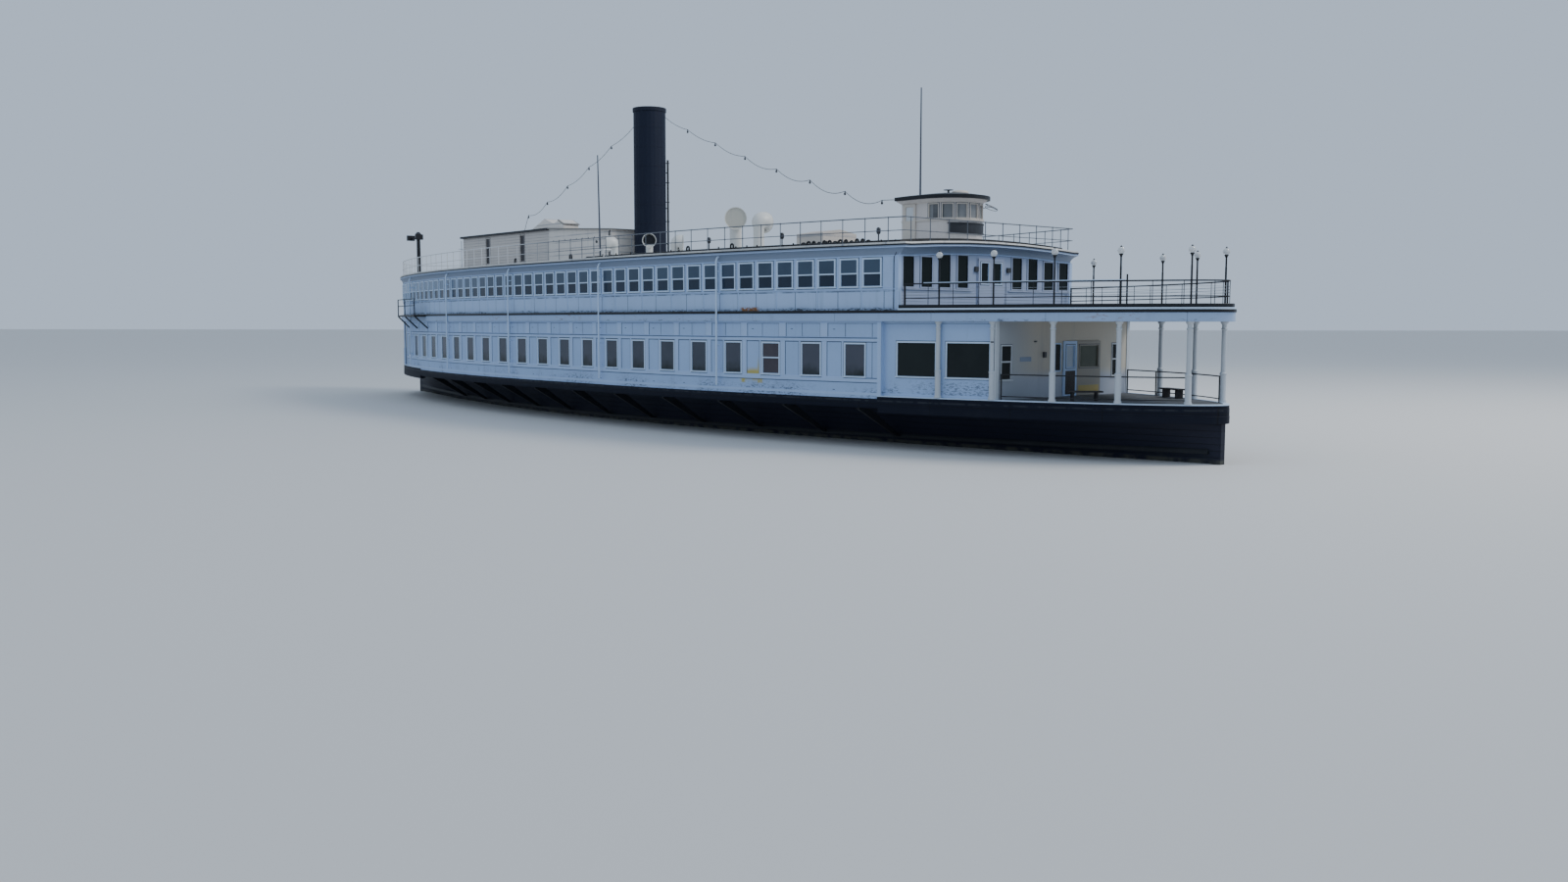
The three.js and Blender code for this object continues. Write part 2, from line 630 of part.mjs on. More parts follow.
// A fence of thin posts and rails along stations of [x, y, outward normal, kind of post].
// Kind 0 has no post, 1 a post up to the top rail, and each further kind one height more.
function fence(path, base, rails, postHeights, postWidth, railDepth) {
  const stations = [];
  const isPost = [];
  path.forEach(([x, y, nx, ny, post], i) => {
    const next = path[Math.min(i + 1, path.length - 1)];
    const previous = path[Math.max(i - 1, 0)];
    const along = new THREE.Vector2(next[0] - previous[0], next[1] - previous[1]).normalize();
    const at = (shift) => (z) => [
      [x + along.x * shift + (nx * railDepth) / 2, y + along.y * shift + (ny * railDepth) / 2, z],
      [x + along.x * shift - (nx * railDepth) / 2, y + along.y * shift - (ny * railDepth) / 2, z]];
    const isEnd = i === 0 || i === path.length - 1;
    if (post) {
      stations.push(at(-postWidth / 2), at(postWidth / 2));
      isPost.push(post, isEnd && i > 0 ? 0 : -1);
    } else {
      stations.push(at(0));
      isPost.push(-1);
    }
  });
  const heights = [base, ...rails.flatMap(([z, depth]) => [z - depth, z]), ...postHeights];
  const railRows = rails.length * 2;
  return latticeWall(stations, heights, (i, j) => {
    if (isPost[i] > 0) return j >= railRows + isPost[i] - 1;
    return j >= railRows || j % 2 === 0;
  });
}

function lengthsAlong(line) {
  const lengths = [0];
  for (let k = 1; k < line.length; k += 1) {
    lengths.push(lengths[k - 1] + Math.hypot(line[k][0] - line[k - 1][0], line[k][1] - line[k - 1][1]));
  }
  return lengths;
}

// Stations of a fence at marks of [distance along a line, kind]: point, outward normal, kind.
function stationsAt(line, marks) {
  const lengths = lengthsAlong(line);
  return marks.map(([distance, kind]) => {
    const found = lengths.findIndex((length) => length >= distance - 1e-9);
    const k = THREE.MathUtils.clamp(found, 1, line.length - 2);
    const [tx, ty] = [line[k + 1][0] - line[k - 1][0], line[k + 1][1] - line[k - 1][1]];
    const size = Math.hypot(tx, ty);
    return [...line[k], ty / size, -tx / size, kind];
  });
}

// Marks at even distances, with a post at each.
function evenMarks(line, spacing) {
  const total = lengthsAlong(line)[line.length - 1];
  const count = Math.round(total / spacing);
  return Array.from({ length: count + 1 }, (_, k) => [(total * k) / count, 1]);
}

// Marks at posts of [x, y, kind], and plain points between them that follow the curve.
function postMarks(line, posts, spacing) {
  const lengths = lengthsAlong(line);
  const distance = (x, y) => {
    const reach = line.map(([px, py]) => Math.hypot(px - x, py - y));
    return lengths[reach.indexOf(Math.min(...reach))];
  };
  const known = posts.map(([x, y, kind]) => [distance(x, y), kind]).sort((a, b) => a[0] - b[0]);
  return known.flatMap(([start, kind], i) => {
    if (i + 1 === known.length) return [[start, kind]];
    const span = known[i + 1][0] - start;
    const parts = Math.ceil(span / spacing);
    return Array.from({ length: parts }, (_, k) => [start + (span * k) / parts, k ? 0 : kind]);
  });
}

// The rail round the open front deck, whose tall posts carry globes.
function endDeckRail() {
  const { inset, width, globe } = endRailing;
  const start = upperHouseFront + endRailing.start;
  const posts = [[plan.halfLength - inset, 0, 1]];
  for (const side of [-1, 1]) {
    posts.push([start, side * halfAt(start, -inset), 1]);
    postStations.forEach((x, i) => {
      const hasLamp = !(side > 0 && i === 1);
      posts.push([x, side * halfAt(x, -inset), hasLamp ? 3 : 2]);
    });
  }
  const steps = 600;
  const startAngle = planAngle(start);
  const line = Array.from({ length: 2 * steps + 1 }, (_, k) => {
    const turn = k / steps - 1;
    const [x, y] = planPoint(THREE.MathUtils.lerp(rightAngle, startAngle, Math.abs(turn)), -inset);
    return [x, Math.sign(turn) * y];
  });
  const path = stationsAt(line, postMarks(line, posts, endRailing.spacing));
  const rails = endRailing.rails.map(([z, depth]) => [level.upperDeck + z, depth]);
  const tops = [endRailing.postHeight, endRailing.lampHeight].map((z) => level.upperDeck + z);
  const rail = fence(path, level.upperDeck + gap, rails, tops, width, width);
  const globes = path.filter(([, , , , kind]) => kind === 3).map(([x, y]) => (
    new THREE.OctahedronGeometry(globe, 1).translate(x, y, tops[1] + globe - 0.02)));
  return join(rail, ...globes);
}

function mainDeckRail(end, side) {
  const steps = 200;
  const start = lowerHouseEnd + mainDeckRailing.start;
  const place = (x) => [end * x, side * halfAt(x, -mainDeckRailing.inset)];
  const line = Array.from({ length: steps + 1 }, (_, k) => (
    place(THREE.MathUtils.lerp(start, mainDeckRailing.end, k / steps))));
  const posts = [start, ...mainDeckRailing.posts, mainDeckRailing.end].map((x) => [...place(x), 1]);
  const path = stationsAt(line, postMarks(line, posts, mainDeckRailing.spacing));
  const rails = mainDeckRailing.rails.map(([z, depth]) => [level.mainDeck + z, depth]);
  return fence(path, level.mainDeck + gap, rails, [], mainDeckRailing.postWidth, mainDeckRailing.railDepth);
}

// The roof rail follows the roof's edge all the way round, with its front run square across.
function roofRail() {
  const { inset, pipe } = roofRailing;
  const steps = 300;
  const front = upperHouseFront + roofRailing.front;
  const half = halfAt(front, -inset);
  const across = Array.from({ length: 41 }, (_, k) => [front, half * (k / 20 - 1)]);
  const left = Array.from({ length: 2 * steps }, (_, k) => {
    if (k < steps) {
      const x = THREE.MathUtils.lerp(front, -plan.straight, (k + 1) / steps);
      return [x, halfAt(x, -inset)];
    }
    const [x, y] = planPoint((rightAngle * (k + 1 - steps)) / steps, -inset);
    return [-x, y];
  });
  const right = left.slice(0, -1).reverse().map(([x, y]) => [x, -y]);
  const line = [...across, ...left, ...right, across[0]];
  const path = stationsAt(line, evenMarks(line, 2 * upperWindow.pitch));
  const stations = [];
  const isPost = [];
  path.slice(0, -1).forEach(([x, y, nx, ny]) => {
    const lift = x > upperHouseFront ? roofTopAt(x, y) - level.roofTop + 0.004 : 0;
    for (const shift of [-pipe / 2, pipe / 2]) {
      const [ax, ay] = [x - ny * shift, y + nx * shift];
      const point = (out, z) => [ax + nx * out, ay + ny * out, z + lift];
      stations.push((z) => [point(pipe / 2, z), point(-pipe / 2, z)]);
      isPost.push(shift < 0);
    }
  });
  const rails = roofRailing.rails.map(([z, depth]) => [level.roofTop + z, depth]);
  const heights = [level.roofTop + gap, ...rails.flatMap(([z, depth]) => [z - depth, z])];
  return latticeWall(stations, heights, (i, j) => !isPost[i] && j % 2 === 0, true);
}

// Doors: leaves that lie on the outer face of a wall, with knuckles on their hinge line.
function doorLeaf(width, height, pane, towards) {
  const ys = [0, pane.side, width - pane.side, width];
  const zs = [0, pane.sill, pane.head, height];
  const stations = ys.map((y) => (z) => (
    [[swing + leafSize.thickness, towards * y, z], [swing, towards * y, z]]));
  const leaf = latticeWall(stations, zs, (i, j) => i === 1 && j === 1);
  const knuckles = knuckle.shares.map((share) => (
    upright(swing - gap, height * share, height * share + knuckle.height, 6)
      .rotateZ(Math.PI / 6).translate(swing, 0, 0)));
  return join(leaf, ...knuckles);
}

add("hull", hullBody(), "black");
add("keel", keelBody(), "black");
add("engine_block", box(-engine.length / 2, engine.length / 2, -engine.width / 2, engine.width / 2,
  well.floor + gap, well.floor + engine.height), "steel");
for (const [name, end] of [["front", 1], ["rear", -1]]) {
  const turn = end > 0 ? 0 : Math.PI;
  add(`rudder_${name}`, rudderBody().rotateZ(turn), "black", [end * rudder.stock, 0, 0]);
  add(`propeller_${name}`, propellerBody().rotateZ(turn), "bronze",
    [end * propeller.station, 0, propeller.axis]);
}
add("main_deck", mainDeck(), "black");
for (const [name, side] of [["right", -1], ["left", 1]]) {
  add(`lower_wall_${name}`, lowerWall(side), "white");
  upperWall(side).forEach((section, k) => add(`upper_wall_${name}_${upperSections[k]}`, section, "white"));
}
add("upper_deck", upperDeck(), "white");
add("roof", roofBody(), "white");

for (const [name, end] of [["front", 1], ["rear", -1]]) {
  for (const [sideName, side] of [["right", -1], ["left", 1]]) {
    add(`main_deck_rail_${name}_${sideName}`, mainDeckRail(end, side), "steel");
  }
}
add("end_deck_rail", endDeckRail(), "black");
add("roof_rail", roofRail(), "white");

// Flat walls across the ends of the houses.
function upperEndWall() {
  const half = halfAt(upperHouseFront, -wall.upperInset);
  const heights = [level.upperDeck + gap, endWindow.sill, endWindow.head, endWindow.middleHead,
    level.roofBottom - gap];
  const openings = upperEndWindows.map(([a, b]) => (
    [a, b, Math.abs(a + b) / 2 < endWindow.middleReach ? [1, 2] : [1]]));
  openings.push([-upperDoor.half, upperDoor.half, [0, 1]]);
  return crossWall(upperEndFace, half, openings, heights);
}

function lowerEndWall(end) {
  const half = halfAt(lowerHouseEnd, end > 0 ? -wall.endInset : 0);
  const heights = [level.mainDeck + gap, lowerWindow.sill, lowerWindow.head, lowerDoor.head,
    level.upperDeckBottom - gap];
  const openings = lowerEndWindows.map(([a, b]) => [a, b, [1]]);
  openings.push([lowerDoor.from, lowerDoor.to, [0, 1, 2]]);
  return crossWall(lowerEndFace, half, openings, heights);
}

add("upper_end_wall", upperEndWall(), "white");
add("lower_end_wall_front", lowerEndWall(1), "cream");
add("lower_end_wall_rear", lowerEndWall(-1).rotateZ(Math.PI), "cream");

// Leaves as [name, hinge y, width, towards, end of the ship]; the upper ones first.
const { lap } = leafSize;
const upperLeaf = upperDoor.half + lap - swing / 2;
const rightLeaf = lowerDoor.split - lowerDoor.from + lap - swing / 2;
const leftLeaf = lowerDoor.to - lowerDoor.split + lap - swing / 2;
const leaves = [
  ["upper_door_right", -upperDoor.half - lap, upperLeaf, 1, 1],
  ["upper_door_left", upperDoor.half + lap, upperLeaf, -1, 1],
  ["lower_door_front_right", lowerDoor.from - lap, rightLeaf, 1, 1],
  ["lower_door_front_left", lowerDoor.to + lap, leftLeaf, -1, 1],
  ["lower_door_rear_right", lowerDoor.from - lap, rightLeaf, 1, -1],
  ["lower_door_rear_left", lowerDoor.to + lap, leftLeaf, -1, -1],
];
leaves.forEach(([name, y, width, towards, end], k) => {
  const [face, floor, head] = k < 2 ? [upperEndFace, level.upperDeck, upperDoor.head]
    : [lowerEndFace, level.mainDeck, lowerDoor.head];
  const height = head + lap - floor - swing;
  const pane = { side: leafSize.stile, sill: height * leafSize.sillShare, head: height - leafSize.topRail };
  const leaf = doorLeaf(width, height, pane, towards).rotateZ(end > 0 ? 0 : Math.PI);
  add(name, leaf, "white", [end * face, end * y, floor + swing]);
});

add("engine_casing", box(engineCasing.rear, engineCasing.front, -engineCasing.half, engineCasing.half,
  level.mainDeck + gap, level.upperDeckBottom - gap), "white");

// The funnel and what stands beside it.
function funnelBody() {
  const { radius, thickness, top } = funnel;
  const base = seatRound(funnel.x, 0, radius);
  const bore = radius - thickness;
  const profile = [[0, base], [radius + 0.04, base], [radius + 0.04, base + 0.12], [radius, base + 0.16],
    [radius, top - 0.25], [radius + 0.05, top - 0.22], [radius + 0.05, top], [bore, top],
    [bore, base + 0.6], [0, base + 0.6]];
  return new THREE.LatheGeometry(profile.map(([r, z]) => new THREE.Vector2(r, z)), 24).rotateX(rightAngle);
}

function funnelPipe() {
  const { radius, angle } = sidePipe;
  const reach = funnel.radius + sidePipe.away;
  const [px, py] = [reach * Math.cos(angle), reach * Math.sin(angle)];
  const base = seatRound(funnel.x + px, py, radius);
  const clamps = sidePipe.clamps.map((z) => (
    box(funnel.radius + 0.005, reach, -0.03, 0.03, base + z, base + z + 0.06).rotateZ(angle)));
  return join(upright(radius, base, sidePipe.top, 8).translate(px, py, 0), ...clamps);
}

add("funnel", funnelBody(), "black", [funnel.x, 0, 0]);
add("funnel_pipe", funnelPipe(), "black", [funnel.x, 0, 0]);

// The wheelhouse: a square rear and a half-round front, windows all round it.
function wheelhouseOutline(offset, steps) {
  const { rear, centre, half: r } = wheelhouse;
  const front = Array.from({ length: steps + 1 }, (_, k) => {
    const a = (Math.PI * k) / steps - rightAngle;
    return [centre + (r + offset) * Math.cos(a), (r + offset) * Math.sin(a)];
  });
  const back = rear - Math.min(offset, wheelhouse.rearEaves);
  return [[back, -r - offset], ...front, [back, r + offset]];
}

const wheelhouseBase = seatRound(wheelhouse.centre, 0, wheelhouse.half);

function wheelhouseWall() {
  const { rear, centre, half: r, thickness } = wheelhouse;
  const stations = [];
  const kinds = [];
  const push = (x, y, nx, ny, kind) => {
    const cove = (z) => (z > wheelhouse.coveFrom ? wheelhouse.cove : 0);
    const point = (out, z) => [x + nx * out, y + ny * out, z];
    stations.push((z) => [point(cove(z), z), point(-thickness, z)]);
    kinds.push(kind);
  };
  push(rear, -r, -1, -1, "plain");
  push(wheelhouseDoor.from, -r, 0, -1, "door");
  push(wheelhouseDoor.to, -r, 0, -1, "plain");
  push(centre, -r, 0, -1, "plain");
  const { angles, reach } = wheelhouseWindows;
  for (const angle of angles) {
    for (const [shift, kind] of [[-reach, "window"], [reach, "plain"]]) {
      const a = THREE.MathUtils.degToRad(angle + shift);
      push(centre + r * Math.cos(a), r * Math.sin(a), Math.cos(a), Math.sin(a), kind);
    }
  }
  push(centre, r, 0, 1, "plain");
  push(wheelhouseDoor.to, r, 0, 1, "door");
  push(wheelhouseDoor.from, r, 0, 1, "plain");
  push(rear, r, -1, 1, "plain");
  for (const [from, to] of wheelhouseWindows.rear) {
    push(rear, from, -1, 0, "window");
    push(rear, to, -1, 0, "plain");
  }
  const base = wheelhouseBase;
  const heights = [base, wheelhouse.sill, wheelhouse.head, wheelhouse.coveFrom, wheelhouse.top - gap];
  const open = { plain: [], window: [1], door: [0, 1] };
  return latticeWall(stations, heights, (i, j) => open[kinds[i]].includes(j), true);
}

function wheelhouseRoof() {
  const rise = [[0, 0], [0, 0.17], [-0.6, 0.27], [-1.2, 0.34], [-1.7, 0.37]];
  return loft(rise.map(([inset, z]) => wheelhouseOutline(wheelhouse.eaves + inset, 16)
    .map(([x, y]) => [x, y, wheelhouse.top + z])));
}

add("wheelhouse_wall", wheelhouseWall(), "cream");
add("wheelhouse_roof", wheelhouseRoof(), "black");
for (const [name, side] of [["right", -1], ["left", 1]]) {
  const base = wheelhouseBase + swing;
  const width = wheelhouseDoor.to - wheelhouseDoor.from + 2 * lap;
  const height = wheelhouseDoor.head + lap - base;
  const { stile, sill, head } = wheelhouseDoor;
  const pane = { side: stile, sill: sill - base, head: head - lap - base };
  const leaf = doorLeaf(width, height, pane, -side).rotateZ(side * rightAngle);
  add(`wheelhouse_door_${name}`, leaf, "cream", [wheelhouseDoor.from - lap, side * wheelhouse.half, base]);
}
const mastBase = seatRound(mast.x, 0, mast.radius);
add("mast", upright(mast.radius, mastBase, mast.top, 8, mast.tipRadius), "steel", [mast.x, 0, 0]);

// The long house on the roof, its casing, and the gabled skylight across them.
function houseWall() {
  const { rear, front, half: r, thickness, top } = house;
  const base = seatBox((rear + front) / 2, 0, (front - rear) / 2, 0);
  const stations = [];
  const kinds = [];
  const push = (x, y, nx, ny, kind) => {
    stations.push((z) => [[x, y, z], [x - nx * thickness, y - ny * thickness, z]]);
    kinds.push(kind);
  };
  const { windows } = house;
  push(rear, -r, -1, -1, "plain");
  for (const [a, b] of windows) {
    push(a, -r, 0, -1, "window");
    push(b, -r, 0, -1, "plain");
  }
  push(front - gap, -r, 1, -1, "plain");
  push(front - gap, r, 1, 1, "plain");
  for (const [a, b] of [...windows].reverse()) {
    push(b, r, 0, 1, "window");
    push(a, r, 0, 1, "plain");
  }
  push(rear, r, -1, 1, "plain");
  const heights = [base, base + house.sillHeight, top - house.headDrop, top - gap];
  return latticeWall(stations, heights, (i, j) => kinds[i] === "window" && j === 1, true);
}

// The casing ahead of the house falls gently to the front under a thin roof.
function casingTopAt(x) {
  return THREE.MathUtils.mapLinear(x, house.front, house.casingFront, casing.rearTop, casing.frontTop);
}

function casingBody() {
  const { casingFront, front, half: r } = house;
  const base = seatBox((casingFront + front) / 2, 0, (casingFront - front) / 2, 0);
  return sidePlate([[front, base], [casingFront, base], [casingFront, casingTopAt(casingFront)],
    [front, casingTopAt(front)]], 2 * r);
}

function casingRoof() {
  const [start, end] = [house.front + gap, house.casingFront + casing.eaves];
  const line = [start, end].map((x) => [x, casingTopAt(x) + gap]);
  const upper = [end, start].map((x) => [x, casingTopAt(x) + casing.roofThickness]);
  return sidePlate([...line, ...upper], 2 * (house.half + casing.eaves));
}

// A gable on the right-hand side stands astride the joint of the two roofs.
function skylightBody() {
  const over = (x) => casingTopAt(x) + casing.roofThickness + 0.002;
  const flat = Math.max(house.roofTop, over(house.front)) + gap;
  const profile = [[skylight.rear, flat], [house.front, flat], [skylight.front, over(skylight.front)],
    [skylight.peak, skylight.top]];
  return sidePlate(profile, skylight.left - skylight.right)
    .translate(0, (skylight.left + skylight.right) / 2, 0);
}

add("deckhouse_wall", houseWall(), "cream");
add("deckhouse_roof", box(house.rear - house.eaves, house.front - gap, -house.half - house.eaves,
  house.half + house.eaves, house.top, house.roofTop), "black");
add("casing", casingBody(), "cream");
add("casing_roof", casingRoof(), "black");
add("skylight", skylightBody(), "cream");

// Cowl ventilators: a straight trunk that turns and widens to a round mouth.
function cowlBody(radius, height, mouth) {
  const turn = mouth * cowlTurn;
  const centres = [[0, 0, 0], [0, 0, 0.06], [0, 0, height * 0.6], [0, 0, height]];
  const radii = [radius * 1.2, radius, radius, radius * 1.05];
  for (const [angle, grow] of [[25, 0.35], [50, 0.7], [75, 0.92], [90, 1]]) {
    const a = THREE.MathUtils.degToRad(angle);
    centres.push([turn * (1 - Math.cos(a)), 0, height + turn * Math.sin(a)]);
    radii.push(THREE.MathUtils.lerp(radius, mouth, grow));
  }
  centres.push([turn + mouth * 0.4, 0, height + turn]);
  radii.push(mouth);
  return taperTube(centres, radii, 12);
}

for (const [name, x, y, radius, height, mouth, heading] of cowls) {
  const body = cowlBody(radius, height, mouth).rotateZ(THREE.MathUtils.degToRad(heading));
  add(name, body, "white", [x, y, seatRound(x, y, radius * 1.2, 12)]);
}

function hatchBody() {
  const { width, breadth, height, rise } = hatch;
  const section = (x) => [[x, -breadth / 2, 0], [x, breadth / 2, 0], [x, breadth / 2, height],
    [x, 0, height + rise], [x, -breadth / 2, height]];
  return loft([section(-width / 2), section(width / 2)]);
}
add("roof_hatch", hatchBody(), "cream",
  [hatch.x, 0, seatBox(hatch.x, 0, hatch.width / 2, hatch.breadth / 2)]);

const poleBase = seatRound(pole.x, pole.y, pole.radius, 8);
const poleLine = [[0, 0, 0], [0, 0, 0.2], [-pole.lean, 0, pole.top - poleBase]];
add("pole", taperTube(poleLine, [pole.radius, pole.radius, pole.tipRadius], 8), "steel",
  [pole.x, pole.y, poleBase]);

// A post with two lamps on a short arm.
function floodlightPost() {
  const { height, radius, topRadius, arm: reach } = floodlight;
  const arm = box(-reach, 0.1, -0.04, 0.04, height - 0.15, height - 0.05);
  const lamps = [[-reach, 0.12], [0.12, 0.1]].map(([x, drop]) => (
    box(x - 0.12, x + 0.12, -0.28, 0.28, height - 0.12 - drop, height + 0.28 - drop)));
  return join(upright(radius, 0, height, 8, topRadius), arm, ...lamps);
}
add("floodlight_post", floodlightPost(), "black",
  [floodlight.x, floodlight.y, seatRound(floodlight.x, floodlight.y, floodlight.radius, 8)]);

// The landing stage on the right-hand side near the rear, with its rail and braces.
function landingBody() {
  const corners = (offset) => Array.from({ length: landing.to - landing.from + 1 }, (_, k) => {
    const [x, y] = planPoint((rightAngle * (landing.from + k)) / planSteps, offset);
    return [-x, -y];
  });
  const inner = corners(deckOverhang + 4 * gap);
  const outer = corners(deckOverhang + landing.width);
  const line = corners(deckOverhang + landing.width - 0.06);
  const foot = corners(0.06);
  const bottom = landing.top - landing.thickness;
  const middle = (bottom + landing.top) / 2;
  const floor = plate([...inner, ...[...outer].reverse()], bottom, landing.top);
  const posts = line.map(([x, y]) => upright(0.04, middle, landing.railTop, 6).translate(x, y, 0));
  const rails = [landing.railTop - 0.03, landing.railTop - 0.5].map((z) => (
    taperTube(line.map(([x, y]) => [x, y, z]), [0.03, 0.03, 0.03], 6)));
  const braces = line.map(([x, y], k) => (
    taperTube([[x, y, bottom + 0.03], [foot[k][0], foot[k][1], landing.foot]], [0.05, 0.05], 6)));
  return join(floor, ...posts, ...rails, ...braces);
}
add("landing", landingBody(), "black");

// Benches on the front of the main deck.
function benchBody() {
  const { length, depth, height } = bench;
  const legs = [-0.5, 0.5].map((x) => box(x - 0.04, x + 0.04, -0.18, 0.18, gap, height));
  return join(box(-length / 2, length / 2, -depth / 2, depth / 2, height - 0.06, height), ...legs);
}
for (const [name, x, y, turn] of benches) {
  add(name, benchBody().rotateZ(turn), "wood", [x, y, level.mainDeck]);
}

export default object;
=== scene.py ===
import math
from collections import namedtuple

import bmesh
import bpy
import numpy as np
from mathutils import Matrix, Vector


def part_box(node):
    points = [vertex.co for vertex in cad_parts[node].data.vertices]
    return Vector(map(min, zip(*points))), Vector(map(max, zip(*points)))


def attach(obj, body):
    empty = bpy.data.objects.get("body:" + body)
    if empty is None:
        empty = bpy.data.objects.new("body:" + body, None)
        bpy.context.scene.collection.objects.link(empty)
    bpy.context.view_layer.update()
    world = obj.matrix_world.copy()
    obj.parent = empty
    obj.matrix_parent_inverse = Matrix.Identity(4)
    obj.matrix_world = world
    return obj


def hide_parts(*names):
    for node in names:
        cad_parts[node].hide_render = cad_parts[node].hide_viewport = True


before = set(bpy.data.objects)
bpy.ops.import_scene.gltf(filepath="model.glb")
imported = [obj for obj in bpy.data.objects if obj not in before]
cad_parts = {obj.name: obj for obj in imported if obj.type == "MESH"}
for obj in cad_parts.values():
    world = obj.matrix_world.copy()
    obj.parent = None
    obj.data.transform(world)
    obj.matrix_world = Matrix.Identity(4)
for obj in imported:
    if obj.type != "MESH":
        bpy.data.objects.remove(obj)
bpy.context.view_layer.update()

# Every length below is in metres of the full-size ship; pieces are scaled when they are made.
SCALE = 0.5

# The plan of the decks, and the heights of the main lines.
HALF_BEAM = 8.35
HALF_LENGTH = 37.0
STRAIGHT = 4.36
FULLNESS = 1.856
ROUNDNESS = 1.603
MAIN_DECK = 2.42
UPPER_DECK = 6.21
OVERHANG = 0.15
ROOF_OUT = 0.2
UPPER_INSET = 0.05
END_INSET = 0.25
HOUSE_FRONT = 24.4
LOWER_END = 28.85
LOWER_STEP = 23.6
UP = np.array([0.0, 0.0, 1.0])

# Window stations: the first from the front, the pitch, and half a window's width.
UPPER_FIRST, UPPER_PITCH, UPPER_HALF = 23.11, 1.2346, 0.4
LOWER_FIRST, LOWER_PITCH, LOWER_HALF = 22.25, 2.469, 0.525

# Openings: the height of the sill, the opening's height and the lower sash's height.
UPPER_SILL, UPPER_TALL, UPPER_SPLIT = 7.31, 1.21, 0.575
LOWER_SILL, LOWER_TALL, LOWER_SPLIT = 3.27, 1.45, 0.76
PICTURE_SILL, PICTURE_TALL = 3.33, 1.48
END_SILL = 7.28
PILOT_SILL, PILOT_TALL = 10.62, 0.66
DOOR_TALL = 0.974

# The stations between which the two wide windows near the front lie.
PICTURE_EDGES = [24.3, 26.15, 26.7, 28.62]

# Across the ship: how thick the end walls are, and where a door's face lies in front of them.
END_THICK = 0.1506
DOOR_FACE = 0.074

# The wheelhouse: a half circle in front of straight sides and a rear wall.
WHEELHOUSE_X, WHEELHOUSE_RADIUS, WHEELHOUSE_REAR = 21.9, 1.6, 20.3


def xyz(*parts):
    """Coordinates, numbers or arrays, joined into points."""
    return np.stack(np.broadcast_arrays(*parts), -1)


def unit(vectors):
    """Vectors divided by their lengths."""
    return vectors / np.linalg.norm(vectors, axis=-1, keepdims=True)


def around(sides):
    """Even angles round a circle."""
    return 2 * np.pi * np.arange(sides) / sides


# Plan curves.

def end_share(x, offset):
    """How far along the rounded end a station lies, from 0 to 1."""
    return np.clip((np.abs(x) - STRAIGHT) / (HALF_LENGTH + offset - STRAIGHT), 0, 1)


def half_at(x, offset):
    """Half breadth: full in the straight part, then the superellipse of the rounded end."""
    return (HALF_BEAM + offset) * (1 - end_share(x, offset) ** FULLNESS) ** (1 / ROUNDNESS)


def ellipse(angle, offset=0.0):
    """A point of the rounded end by its angle: powers of the sine along and of the cosine across."""
    along = np.sin(angle) ** (2 / FULLNESS)
    across = np.clip(np.cos(angle), 0, 1) ** (2 / ROUNDNESS)
    return STRAIGHT + (HALF_LENGTH + offset - STRAIGHT) * along, (HALF_BEAM + offset) * across


def angle_at(x, offset=0.0):
    """The angle of the rounded end's curve at a station: the arcsine of a power of its share."""
    return np.arcsin(end_share(x, offset) ** (FULLNESS / 2))


def run(start, end, offset=0.0, count=160):
    """Right-hand line of the plan between two stations, even in angle round the ends."""
    def measure(x):
        return math.copysign(1 + angle_at(x, offset), x) if abs(x) > STRAIGHT else x / STRAIGHT
    u = np.linspace(measure(start), measure(end), count)
    x, y = ellipse(np.clip(np.abs(u) - 1, 0, np.pi / 2), offset)
    flat = np.abs(u) <= 1
    return xyz(np.where(flat, u * STRAIGHT, np.sign(u) * x), np.where(flat, -HALF_BEAM - offset, -y))


def mirrored(path):
    """The same line on the left-hand side, in the opposite order."""
    return path[::-1] * [1, -1]


def loop(offset):
    """The whole plan, anticlockwise from the rear tip."""
    right = run(-HALF_LENGTH - offset, HALF_LENGTH + offset, offset, 260)
    return np.vstack([right[:-1], mirrored(right)[:-1]])


def end_arc(start, offset, count=120):
    """The line round one end, from a station on one side to the same on the other."""
    tip = math.copysign(HALF_LENGTH + offset, start)
    if start > 0:
        right = run(start, tip, offset, count)
        return np.vstack([right, mirrored(right)[1:]])
    right = run(tip, start, offset, count)
    return np.vstack([mirrored(right)[:-1], right])


# Shells: an array of points and an array of four-cornered faces. A triangle repeats its last corner.

def quads(rows, columns, wrap_rows, wrap_columns):
    """Faces between neighbours of a grid of points, joined round where asked."""
    i = np.arange(rows if wrap_rows else rows - 1)[:, None]
    j = np.arange(columns if wrap_columns else columns - 1)[None, :]
    down, across = (i + 1) % rows, (j + 1) % columns
    corners = [i * columns + j, i * columns + across, down * columns + across, down * columns + j]
    return xyz(*corners).reshape(-1, 4)


def fan(ring):
    """A flat cap as triangles from the first point of a ring."""
    return xyz(ring[0], ring[1:-1], ring[2:], ring[2:])


def belt(rows, columns, closed):
    """Faces of a profile carried along a line, with flat ends where the line is open."""
    faces = quads(rows, columns, closed, True)
    if closed:
        return faces
    ring = np.arange(columns)
    return np.vstack([faces, fan(ring), fan((rows - 1) * columns + ring)])


def copies(points, faces):
    """The same faces on each of many sets of points."""
    count, size = points.shape[:2]
    return points.reshape(-1, 3), (faces + size * np.arange(count)[:, None, None]).reshape(-1, 4)


def merged(shells):
    """Many shells as one."""
    points, faces = zip(*shells)
    starts = np.cumsum([0] + [len(part) for part in points[:-1]])
    return np.vstack(points), np.vstack([part + start for part, start in zip(faces, starts)])


BOX = np.array([[x, y, z] for z in (0, 1) for y in (0, 1) for x in (0, 1)], float)
BOX_FACES = np.array([[0, 2, 3, 1], [4, 5, 7, 6], [0, 1, 5, 4], [2, 6, 7, 3], [0, 4, 6, 2], [1, 3, 7, 5]])


